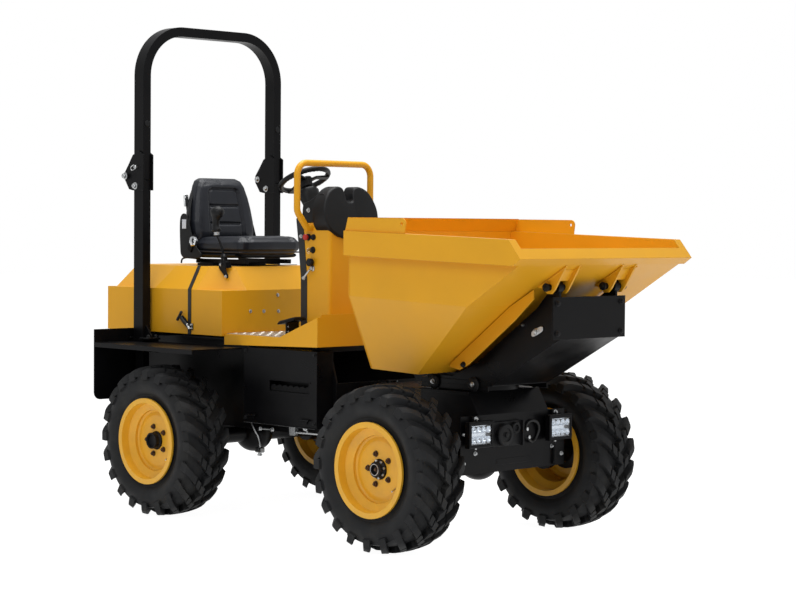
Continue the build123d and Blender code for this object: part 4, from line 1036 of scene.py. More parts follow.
def gap_to_segments(points: np.ndarray, corners: list) -> np.ndarray:
    """Return each flat point's distance to the nearest segment of a chain of corners.

    Args:
        points: array (n, 2).
        corners: corners of the chain, in order.

    Returns:
        Array (n,).
    """
    best = np.full(len(points), np.inf)
    for a, b in zip(np.asarray(corners, float)[:-1], np.asarray(corners, float)[1:]):
        along = np.clip(((points - a) @ (b - a)) / np.dot(b - a, b - a), 0, 1)
        best = np.minimum(best, np.linalg.norm(points - (a + along[:, None] * (b - a)), axis=1))
    return best


@dataclass(frozen=True)
class Channels:
    """Sewn seams and channels: depth * exp(-(distance / width) ** 2) along chains of points."""

    chains: tuple = ()          # (depth, width, corners) each, corners in the two flat axes
    flat_axes: tuple = (1, 2)
    push: tuple = (-1.0, 0.0, 0.0)
    keep_from: float = -10.0    # only points whose coordinate against the push is past this move
    sink: tuple = ()            # (depth, corners) of one convex panel that lies lower
    fade: float = 0.012         # how gradually the move starts past keep_from
    sink_edge: float = 0.006    # width of the panel's sloping edge

    def press(self, points: np.ndarray) -> np.ndarray:
        """Press the channels in.

        Args:
            points: array (n, 3).

        Returns:
            The moved points.
        """
        flat = points[:, list(self.flat_axes)]
        direction = np.asarray(self.push, float)
        front = np.clip(((points @ -direction) - self.keep_from) / self.fade, 0, 1)
        depth = np.zeros(len(points))
        for amount, width, corners in self.chains:
            depth = np.maximum(depth, amount * np.exp(-(gap_to_segments(flat, corners) / width) ** 2))
        if self.sink:
            amount, corners = self.sink
            c = np.asarray(corners, float)
            edge = np.roll(c, -1, 0) - c
            off = flat[:, None] - c[None]
            cross = edge[:, 0] * off[..., 1] - edge[:, 1] * off[..., 0]
            inside = (cross / np.linalg.norm(edge, axis=1)).min(1)
            depth = depth + amount * np.clip(inside / self.sink_edge, 0, 1)
        return points + (front * depth)[:, None] * direction


@dataclass
class Seat(SubAssembly):
    """Driver's seat on the hood: ribbed back, crowned cushion, moulded shell and hardware."""

    body: str = "hood"
    back_x: float = -1.063
    back_half: tuple = ((0.188, 1.352), (0.196, 1.400), (0.199, 1.450), (0.190, 1.520), (0.177, 1.580),
                        (0.158, 1.637), (0.141, 1.665), (0.112, 1.679))
    back_lean: float = 0.15
    lean_from: float = 1.40
    panel_half: tuple = ((0.112, 1.350), (0.109, 1.455), (0.099, 1.600), (0.092, 1.616), (0.076, 1.624))
    rib_heights: tuple = (1.536, 1.444)
    cushion_half: tuple = ((-1.046, 0.196), (-0.722, 0.209), (-0.692, 0.207), (-0.668, 0.190),
                           (-0.660, 0.160))
    cushion_front: float = -0.656
    cushion_z: float = 1.330

    def leaned(self, shell: Shell) -> Shell:
        """Lean a skin back above the cushion: x - lean * (z - lean_from)."""
        return shell.shifted(0, -self.back_lean * np.clip(shell.points[:, 2] - self.lean_from, 0, None))

    def build_back(self) -> None:
        """Make the back pad with its sunk panel, its border seam and two cross channels."""
        start = front_slab(mirrored(self.back_half), self.back_x, 0.066, 0.018)
        x, y, _ = start.points.T
        start = start.shifted(0, 0.014 * np.clip((np.abs(y) - 0.10) / 0.06, 0, 1) * (x > self.back_x))
        panel = mirrored(self.panel_half)
        ribs = tuple((0.012, 0.0075, ((-0.096, z), (0.096, z))) for z in self.rib_heights)
        border = (0.013, 0.0065, panel + panel[:1])
        made = Channels(ribs + (border,), keep_from=self.back_x + 0.006, sink=(0.007, panel))
        pad = padded_piece("seat_back_pad", start, self.body, VINYL, 0.009, made)
        leaned = self.leaned(Shell(vertex_array(pad.data), []))
        pad.data.vertices.foreach_set("co", leaned.points.ravel())
        pad.data.update()
        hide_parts("seat_back")

    def build_cushion(self) -> None:
        """Make the cushion: side rolls past two fore-and-aft seams, a cross seam and a rounded nose."""
        right = [(x, -y) for x, y in self.cushion_half]
        outline = right + [(self.cushion_front, 0.0)] + list(self.cushion_half[::-1])
        start = slab(outline, 0.078, 0.024).moved((0, 0, self.cushion_z))
        x, _, z = start.points.T
        start = start.shifted(2, np.where(z > self.cushion_z, 0.004 * (x + 0.86) / 0.18, 0.0))
        seams = tuple((0.011, 0.012, ((-1.05, side * 0.128), (-0.72, side * 0.142), (-0.640, side * 0.142)))
                      for side in SIDES)
        seams += ((0.010, 0.012, ((-0.815, -0.137), (-0.805, 0.137))),
                  (0.007, 0.010, ((-0.925, -0.132), (-0.915, 0.132))))
        made = Channels(seams, (0, 1), (0.0, 0.0, -1.0), 1.352)
        pad = padded_piece("seat_cushion_pad", start, self.body, VINYL, 0.010, made)
        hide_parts("seat_cushion")
        half = [(-1.03, 0.205, 1.301), (-0.80, 0.214, 1.299), (-0.700, 0.212, 1.299),
                (-0.664, 0.185, 1.299)]
        welt = spline([(x, -y, z) for x, y, z in half] + [(-0.653, 0.0, 1.299)] + half[::-1], 90)
        self.add("cushion_welt", [tube(welt, 0.0035, 8)], VINYL)

    def build_shell(self) -> None:
        """Make the moulded shell: a tray that runs up into a dished back, and two side cheeks.

        A point is spine + inward * lip * rise(v), with half * v across, where v runs from -1 to 1.
        """
        t = np.linspace(0, 1, 34)
        spine = spline([(-0.700, 0, 1.284), (-0.72, 0, 1.270), (-0.90, 0, 1.268), (-1.05, 0, 1.272),
                        (-1.112, 0, 1.312), (-1.116, 0, 1.40), (-1.122, 0, 1.52), (-1.130, 0, 1.610),
                        (-1.128, 0, 1.662)], 34)
        half = np.interp(t, [0, 0.05, 0.45, 0.66, 0.75, 0.93, 1.0],
                         [0.185, 0.206, 0.216, 0.217, 0.205, 0.150, 0.110])
        lip = np.interp(t, [0, 0.30, 0.45, 0.55, 0.7, 1.0], [0.012, 0.016, 0.040, 0.052, 0.048, 0.026])
        ahead = unit_rows(np.gradient(spine, axis=0))
        inward = np.stack([ahead[:, 2], np.zeros(len(t)), -ahead[:, 0]], 1)
        v = np.array([-1.0, -0.985, -0.93, -0.80, 0.0, 0.80, 0.93, 0.985, 1.0])
        rise = np.array([1.0, 0.55, 0.12, 0.0, 0.0, 0.0, 0.12, 0.55, 1.0])
        skins = []
        for inset in (0.0, 0.006):
            y = (half[:, None] - inset * (np.abs(v) > 0.95)) * v
            lift = lip[:, None] * rise + inset
            skins.append(spine[:, None] + inward[:, None] * lift[..., None]
                         + np.stack([0 * y, y, 0 * y], -1))
        loop = np.concatenate([skins[0], skins[1][:, ::-1]], 1)
        cheek = rounded([(-1.134, 1.470), (-1.134, 1.330), (-1.118, 1.272), (-1.04, 1.262), (-0.972, 1.268),
                         (-0.966, 1.292), (-1.005, 1.325), (-1.035, 1.372), (-1.062, 1.440),
                         (-1.092, 1.492)], 60)
        cheeks = [side_slab(cheek, side * 0.2165, 0.009, 0.003) for side in SIDES]
        shell = self.add("seat_shell_moulding",
                         [grid_skin(loop, wrap_columns=True, caps=True)] + cheeks, PLASTIC, 40)
        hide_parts("seat_shell")

    def build_hardware(self) -> None:
        """Make the recliner wheel, slide lever, belt buckle on its stalk, and the blank tag."""
        profile = [(0.006, 0), (0.022, 0), (0.024, 0.004), (0.024, 0.016), (0.020, 0.020), (0.008, 0.022)]
        wheel = turned(profile, 24).fluted(6, 0.10, True)
        self.add("recliner_wheel", [wheel.on_side((-1.010, -0.222, 1.352), -1)], CHROME)
        arm = slab([(-0.05, -0.016), (0.03, -0.018), (0.05, 0.0), (0.03, 0.018),
                    (-0.05, 0.016)], 0.010, 0.002)
        self.add("recliner_arm", [arm.moved((-1.03, -0.2235, 1.345), (0.5, 0, 0.9), (0, -1, 0))], BLACK)
        lever = spline([(-0.98, -0.155, 1.256), (-1.03, -0.185, 1.262), (-1.10, -0.20, 1.266),
                        (-1.135, -0.203, 1.258), (-1.142, -0.204, 1.238)], 26)
        self.add("slide_lever", [tube(lever, 0.0045, 10)], BLACK)
        stalk = spline([(-1.085, -0.140, 1.455), (-1.100, -0.170, 1.462), (-1.112, -0.182, 1.490),
                        (-1.120, -0.184, 1.530)], 24)
        self.add("buckle_stalk", [sweep(ring(0.009, 12, 0.35), stalk, (0.9, 0.1, 0.1))], EDGING)
        case = slab([(-0.014, -0.030), (0.014, -0.030), (0.014, 0.026), (0.009, 0.032), (-0.009, 0.032),
                     (-0.014, 0.026)], 0.009, 0.002)
        release = slab(rectangle((-0.009, -0.006), (0.009, 0.006)), 0.012, 0.002)
        facing = ((0.3, 1, 0), (1, 0, 0.15))
        buckle = [case.moved((-1.126, -0.186, 1.560), *facing),
                  release.moved((-1.128, -0.186, 1.578), *facing)]
        self.add("belt_buckle", buckle, ZINC)
        tag = slab(rectangle((-0.016, -0.024), (0.016, 0.024)), 0.0012)
        self.add("blank_tag", [tag.on_side((-1.098, -0.2222, 1.440), -1)], TAG)

    def build(self) -> None:
        """Make the whole seat."""
        self.build_back()
        self.build_cushion()
        self.build_shell()
        self.build_hardware()


# ---------------------------------------------------------------- controls


@dataclass
class Console(SubAssembly):
    """What the driver handles: shroud, steering wheel, lever, side switches and pedal pads."""

    hub: tuple = (-0.417, 0.0, 1.660)
    lean: float = 26.0
    shroud_lean: float = 0.19
    side_y: float = -0.150
    wheel_radius: float = 0.123
    grip_radius: float = 0.0128

    def column_dir(self) -> tuple:
        """Return the steering column's direction, up towards the driver: (-sin lean, 0, cos lean)."""
        a = np.radians(self.lean)
        return (-np.sin(a), 0.0, np.cos(a))

    def build_shroud(self) -> None:
        """Make the two-lobed shroud, its instrument housing and its bolts.

        The shroud's front leans back as it rises: x - shroud_lean * (z - 1.372), and its rims are drawn
        in by r * (1 - cos t) over a quarter turn.
        """
        half = [(0.020, 1.560), (0.027, 1.596), (0.042, 1.622), (0.078, 1.627), (0.122, 1.610),
                (0.156, 1.572), (0.178, 1.520), (0.178, 1.470), (0.160, 1.424), (0.112, 1.388),
                (0.052, 1.373)]
        left = [(-y, z) for y, z in half[::-1]]
        outline = np.array(rounded([(0.0, 1.553)] + half + [(0.0, 1.371)] + left, 150))
        ahead = unit_rows(np.roll(outline, -1, 0) - np.roll(outline, 1, 0))
        inward = winding(outline) * np.column_stack([-ahead[:, 1], ahead[:, 0]])
        t = np.linspace(0, np.pi / 2, 6)
        layers = [(-0.168, 0.004), (-0.165, 0.0)]
        layers += [(-0.062 + 0.012 * np.sin(a), 0.012 * (1 - np.cos(a))) for a in t]
        points = []
        for x, inset in layers:
            flat = outline + inset * inward
            lean = self.shroud_lean * (flat[:, 1] - 1.372) * (x > -0.1)
            points.append(np.column_stack([x - lean, flat]))
        moulding = self.add("shroud_moulding",
                            [grid_skin(np.array(points), wrap_columns=True, caps=True)], PLASTIC, 30)
        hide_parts("dash_shroud")
        housing = [(-0.150, 1.4503), (-0.259, 1.4503), (-0.284, 1.490), (-0.278, 1.546), (-0.150, 1.572)]
        plates = [side_slab(housing, 0.0, 0.284, 0.006)]
        ear = rounded([(-0.262, 1.462), (-0.200, 1.452), (-0.130, 1.458), (-0.112, 1.50), (-0.108, 1.58),
                       (-0.150, 1.592), (-0.215, 1.560), (-0.268, 1.535)], 48)
        plates += [side_slab(ear, side * 0.1445, 0.006, 0.002) for side in SIDES]
        self.add("instrument_housing", plates, PLASTIC)
        spots = ((-0.227, 1.512), (-0.158, 1.476), (-0.128, 1.560))
        self.add("housing_bolts", on_flanks(bolt(0.0085), 0.1475, spots), ZINC)

    def build_column(self) -> None:
        """Make the moulded cowl round the top of the steering column."""
        profile = [(0.030, -0.050), (0.046, -0.052), (0.051, -0.062), (0.050, -0.095), (0.044, -0.130),
                   (0.042, -0.165), (0.046, -0.190), (0.046, -0.215), (0.030, -0.218)]
        cowl = turned(profile, 40)
        points = cowl.points * (0.92, 1.12, 1.0)
        self.add("column_cowl",
                 [Shell(points, cowl.faces).moved(self.hub, (1, 0, 0), self.column_dir())], PLASTIC)
        stalk = spline([(0.0, 0.045, -0.085), (0.005, 0.085, -0.080), (0.010, 0.125, -0.070)], 12)
        knob = turned([(0.004, 0.0), (0.009, 0.004), (0.010, 0.030), (0.007, 0.036)], 16)
        stick = [tube(stalk, 0.004, 10), knob.moved((0.010, 0.120, -0.071), (1, 0, 0), (0.1, 1, 0.2))]
        self.add("column_stalk", [joined(stick).moved(self.hub, (1, 0, 0), self.column_dir())], PLASTIC)

    def build_wheel(self) -> None:
        """Make the steering wheel: a grip with finger bumps below, three dished spokes and the boss."""
        steps, sides = 96, 16
        grip = sweep(ring(self.grip_radius, sides), circle(self.wheel_radius, steps, 0.006), closed=True)
        t = np.tile(np.linspace(0, 2 * np.pi, sides, endpoint=False), steps)
        around = np.repeat(np.linspace(0, 2 * np.pi, steps, endpoint=False), sides)
        shells = [grip.shifted(2, -0.0016 * (np.sin(around * 36) > 0) * (np.sin(t) < -0.3))]
        for k in range(3):
            b = np.radians(90 + 120 * k)
            half = [(0.018, 0.021), (0.060, 0.015), (self.wheel_radius, 0.020)]
            arm = slab([(x, -y) for x, y in half] + half[::-1], 0.010, 0.003)
            dish = 0.004 - 0.012 * np.cos(np.pi * arm.points[:, 0] / self.wheel_radius) ** 2
            shells.append(arm.shifted(2, dish).moved((0, 0, 0), (np.cos(b), np.sin(b), 0)))
        shells.append(turned([(0.028, -0.039), (0.032, -0.036), (0.034, -0.006), (0.038, 0.004),
                              (0.036, 0.010), (0.026, 0.014), (0.010, 0.015)], 40))
        placed = [shell.moved(self.hub, (0, 1, 0), self.column_dir()) for shell in shells]
        wheel = self.add("steering_wheel_moulding", placed, PLASTIC, 40, body="steering_wheel")
        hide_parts("steering_wheel")

    def build_lever(self) -> None:
        """Make the travel lever: bracket and gaiter on the cowl, cranked rod, collar and moulded grip."""
        y = -0.285
        foot = rounded([(-0.712, 1.262), (-0.722, 1.226), (-0.696, 1.198), (-0.662, 1.170), (-0.650, 1.182),
                        (-0.668, 1.214), (-0.684, 1.262)], 40)
        socket = [(-0.716, 1.252), (-0.722, 1.222), (-0.664, 1.222), (-0.672, 1.252)]
        cup = turned([(0.022, 0.0), (0.024, 0.006), (0.020, 0.020), (0.021, 0.026), (0.015, 0.040),
                      (0.016, 0.045), (0.010, 0.058), (0.007, 0.060)], 24)
        pieces = [side_slab(foot, y - 0.016, 0.006, 0.0015),
                  cup.moved((-0.694, y, 1.232), (1, 0, 0), (-0.25, 0, 1)),
                  side_slab(socket, y, 0.040, 0.003)]
        rod = spline([(-0.692, y, 1.225), (-0.706, y, 1.275), (-0.716, y, 1.311), (-0.738, y, 1.355),
                      (-0.757, y, 1.385), (-0.760, y, 1.410)], 40)
        lever = self.add("travel_lever", pieces + [tube(rod, 0.0062, 14, (0, 1, 0))], BLACK)
        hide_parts("control_lever")
        collar = turned([(0.007, 0.0), (0.0135, 0.001), (0.0135, 0.016), (0.011, 0.019),
                         (0.007, 0.019)], 24)
        clamp = [collar.moved((-0.760, y, 1.384), (1, 0, 0), (-0.1, 0, 1))]
        clamp += [bolt(0.006).on_side((x, y - 0.0195, z), -1)
                  for x, z in ((-0.704, 1.238), (-0.664, 1.180))]
        self.add("lever_collar", clamp, ZINC)
        spine = np.array([(-0.7610, y, 1.404), (-0.7612, y, 1.409), (-0.7625, y, 1.414),
                          (-0.7650, y, 1.424), (-0.7665, y, 1.440), (-0.7660, y, 1.458),
                          (-0.7640, y, 1.474), (-0.7600, y, 1.488), (-0.7555, y, 1.502),
                          (-0.7525, y, 1.514), (-0.7515, y, 1.524), (-0.7520, y, 1.531)])
        width = np.array([0.019, 0.0225, 0.0215, 0.0175, 0.0160, 0.0180, 0.0230, 0.0300, 0.0340, 0.0310,
                          0.0200, 0.0040])
        button = turned([(0.003, 0), (0.0085, 0.0), (0.0085, 0.004), (0.006, 0.006)], 16)
        grip = [sweep(ring(1.0, 28, 1.12), spine, (1, 0, 0), width),
                button.moved((-0.738, y, 1.517), (0, 1, 0), (0.7, 0, 0.7))]
        self.add("lever_grip", grip, PLASTIC, 60)

    def build_switches(self) -> None:
        """Make the edge strips, both buttons, the key switch, the knob and the small lever."""
        y = self.side_y
        strip = [(-0.274, 0.905), (-0.276, 1.180), (-0.292, 1.330), (-0.312, 1.470), (-0.288, 1.482),
                 (-0.262, 1.462), (-0.247, 1.330), (-0.231, 1.180), (-0.229, 0.905)]
        self.add("console_edge_strip",
                 [side_slab(strip, side * 0.1495, 0.0085, 0.002) for side in SIDES], EDGING, 25)
        spots = ((-0.250, 0.930), (-0.252, 1.180), (-0.274, 1.384))
        self.add("strip_bolts", on_flanks(bolt(0.0075), 0.1535, spots), ZINC)
        stop_at, key_at = (-0.224, 1.380), (-0.190, y, 1.318)
        buttons = (             # name, place (x, z), finish, profile (radius, height)
            ("stop_button_collar", stop_at, PLASTIC,
             [(0.010, 0.0), (0.0175, 0.0), (0.0175, 0.003), (0.0155, 0.007), (0.0115, 0.008)]),
            ("stop_button", stop_at, RED,
             [(0.009, 0.0), (0.0095, 0.012), (0.0150, 0.016), (0.0155, 0.022), (0.012, 0.027),
              (0.004, 0.028)]),
            ("start_button", (-0.186, 1.380), PLASTIC,
             [(0.004, 0.0), (0.0150, 0.0), (0.0150, 0.004), (0.0115, 0.006), (0.0110, 0.013),
              (0.004, 0.014)]),
            ("key_switch", (key_at[0], key_at[2]), PLASTIC,
             [(0.006, 0.0), (0.0165, 0.0), (0.0165, 0.004), (0.0125, 0.007), (0.0120, 0.012),
              (0.003, 0.013)]),
        )
        for name, (x, z), finish, profile in buttons:
            self.add(name, [turned(profile, 28).on_side((x, y, z), -1)], finish)
        key = slab([(-0.0015, 0.010), (0.0015, 0.010), (0.0015, 0.018), (0.009, 0.022), (0.011, 0.032),
                    (0.006, 0.041), (-0.006, 0.041), (-0.011, 0.032), (-0.009, 0.022),
                    (-0.0015, 0.018)], 0.0022, 0.0006)
        loop = circle(0.0065, 19)[:, [0, 2, 1]] + (-0.182, y - 0.037, 1.306)
        key_ring = sweep(ring(0.0009, 6), loop, (0, 1, 0), closed=True)
        self.add("key", [key.moved(key_at, (0.5, 0, 1), (1, 0, -0.5)), key_ring], ZINC)
        knob = turned([(0.006, 0.0), (0.012, 0.002), (0.012, 0.008), (0.0195, 0.012), (0.0200, 0.024),
                       (0.016, 0.030), (0.004, 0.031)], 36)
        self.add("throttle_knob", [knob.fluted(6, 0.07).on_side((-0.192, y, 1.258), -1)], PLASTIC)
        arm = spline([(-0.190, y - 0.010, 1.226), (-0.196, y - 0.022, 1.216), (-0.214, y - 0.026, 1.196),
                      (-0.230, y - 0.026, 1.180)], 18)
        boss = turned([(0.006, 0.0), (0.014, 0.0), (0.014, 0.005), (0.009, 0.008), (0.009, 0.014),
                       (0.004, 0.015)], 24)
        self.add("choke_lever", [tube(arm, 0.0042, 10, (0, 1, 0), np.linspace(1, 1.35, 18)),
                                 boss.on_side((-0.190, y, 1.228), -1)], ZINC)

    def build_pedals(self) -> None:
        """Make the ribbed rubber pads and the return-spring studs of the two pedals."""
        shells, studs = [], []
        for side in SIDES:
            y = side * 0.225
            top = [(-0.318, 0.9615), (-0.200, 0.9865), (-0.200, 0.9910), (-0.318, 0.9660)]
            shells.append(side_slab(top, y, 0.074, 0.001))
            for k in range(8):
                x = -0.312 + 0.0148 * k
                z = 0.9660 + 0.212 * (x + 0.318)
                shells.append(side_slab([(x, z), (x + 0.008, z + 0.0017), (x + 0.007, z + 0.0047),
                                         (x + 0.001, z + 0.003)], y, 0.068))
            studs += [bolt(0.006).on_side((-0.255, y - 0.030, z), -1) for z in (0.945, 0.920)]
        self.add("pedal_pads", shells, EDGING, 25)
        self.add("pedal_studs", studs, ZINC)

    def build(self) -> None:
        """Make all the controls."""
        self.build_shroud()
        self.build_column()
        self.build_wheel()
        self.build_lever()
        self.build_switches()
        self.build_pedals()


# ---------------------------------------------------------------- hood, hoop and deck


@dataclass
class HoodFittings(SubAssembly):
    """T-handled rubber latches across the hood seam and bolts of the cowl's front."""

    side_y: float = 0.400
    handle: tuple = (-0.889, 0.978)
    anchor: tuple = (-0.822, 0.926)

    def build(self) -> None:
        """Make the latches on both sides and the cowl's bolts."""
        rubber, metal = [], []
        (hx, hz), (ax, az) = self.handle, self.anchor
        for side in SIDES:
            y = side * (self.side_y + 0.016)
            run = spline([(ax, y, az), ((ax + hx) / 2, y + side * 0.004, (az + hz) / 2), (hx, y, hz)], 14)
            rubber.append(sweep(ring(0.0095, 14, 0.55), run, (0, side, 0)))
            across = unit((hz - az, 0, ax - hx))
            grip = np.array([hx, y + side * 0.003, hz]) + np.linspace(-0.030, 0.030, 15)[:, None] * across
            swell = np.interp(np.linspace(-1, 1, 15), [-1, -0.9, 0, 0.9, 1], [0.55, 1.0, 0.85, 1.0, 0.55])
            rubber.append(tube(grip, 0.0078, 14, (0, side, 0), swell))
            foot = rectangle((ax - 0.018, az - 0.016), (ax + 0.022, az + 0.016))
            rubber.append(side_slab(foot, side * (self.side_y + 0.003), 0.006, 0.0015))
            pin = turned([(0.003, -0.016), (0.0065, -0.016), (0.0065, 0.016), (0.003, 0.016)], 16)
            metal.append(pin.moved((ax, y, az), (0, side, 0), (-0.6, 0, 0.8)))
            metal += [bolt(0.0055).on_side((ax + 0.014, side * (self.side_y + 0.006), az + dz), side)
                      for dz in (-0.009, 0.009)]
        self.add("hood_latches", rubber, EDGING)
        self.add("latch_pins", metal, ZINC)
        keep = rounded([(hx - 0.006, hz - 0.016), (hx + 0.034, hz - 0.040), (hx + 0.044, hz - 0.026),
                        (hx + 0.006, hz + 0.002)], 24)
        keeps = [side_slab(keep, side * (self.side_y + 0.0045), 0.009, 0.002) for side in SIDES]
        self.add("latch_keepers", keeps, BLACK, body="hood")
        spots = ((-0.034, 1.085), (-0.215, 1.007), (-0.126, 1.005), (-0.028, 1.003), (0.150, 1.005),
                 (0.150, 1.085))
        head = turned([(0.0095, 0.0), (0.0090, 0.0025), (0.0060, 0.0050), (0.0020, 0.0055)], 18)
        bolts = [head.on_nose((-0.5797, y, z)) for y, z in spots]
        self.add("cowl_bolts", bolts, ZINC)


@dataclass
class HoopFittings(SubAssembly):
    """Bolts and pins of the folding roll hoop, and the foot plates of its legs."""

    hoop_x: float = -1.164
    hoop_y: float = 0.443
    foot_z: float = 0.850
    half_depth: float = 0.0375       # of the hoop's tube, fore and aft
    half_width: float = 0.0325       # of the hoop's tube, across
    bolt_size: float = 0.0135

    def build(self) -> None:
        """Make the fold bolts, the locking pins and the feet."""
        bolts, pins, feet, foot_bolts = [], [], [], []
        pin = turned([(0.0105, 0.0), (0.0105, 0.012), (0.008, 0.015), (0.003, 0.016)], 20)
        for side in SIDES:
            outer, inner = self.hoop_y + self.half_width, self.hoop_y - self.half_width
            for x, z, plate, stud in ((-1.250, 1.684, 0.0115, 0.004), (-1.180, 1.633, 0.0, 0.006)):
                bolts.append(bolt(self.bolt_size, stud).on_side((x, side * (outer + plate), z), side))
                bolts.append(bolt(self.bolt_size * 0.9).on_side((x, side * inner, z), -side))
            near, far = side * (outer + 0.012), side * (outer + 0.024)
            clip = spline([(-1.176, near, 1.740), (-1.186, far, 1.728), (-1.180, far, 1.712),
                           (-1.166, near, 1.718)], 16)
            pins.append(tube(clip, 0.0022, 8, (0, 1, 0)))
            pins.append(pin.on_side((-1.170, side * outer, 1.728), side))
            low, high = self.foot_z + 0.0005, self.foot_z + 0.010
            feet += [block((self.hoop_x + edge * 0.110, side * 0.408, low),
                           (self.hoop_x + edge * 0.038, side * 0.487, high), 0.002) for edge in SIDES]
            for edge in SIDES:
                x = self.hoop_x + edge * self.half_depth
                gusset = [(x, high), (x + edge * 0.048, high), (x + edge * 0.048, high + 0.008),
                          (x, high + 0.062)]
                feet.append(side_slab(gusset, side * self.hoop_y, 0.008))
                for dy in (-0.022, 0.026):
                    spot = (self.hoop_x + edge * 0.088, side * (self.hoop_y + dy), high)
                    foot_bolts.append(bolt(0.0105, 0.005).moved(spot))
        self.add("fold_bolts", bolts, ZINC)
        self.add("hoop_lock_pins", pins, ZINC)
        self.add("hoop_feet", feet, BLACK, 25)
        self.add("hoop_foot_bolts", foot_bolts, CASTING)
        cap = turned([(0.004, 0), (0.016, 0.0), (0.015, 0.003), (0.004, 0.004)], 24)
        caps = [cap.on_nose((self.hoop_x + self.half_depth, side * self.hoop_y, 1.950)) for side in SIDES]
        self.add("hoop_plugs", caps, PLASTIC, body="roll_hoop")


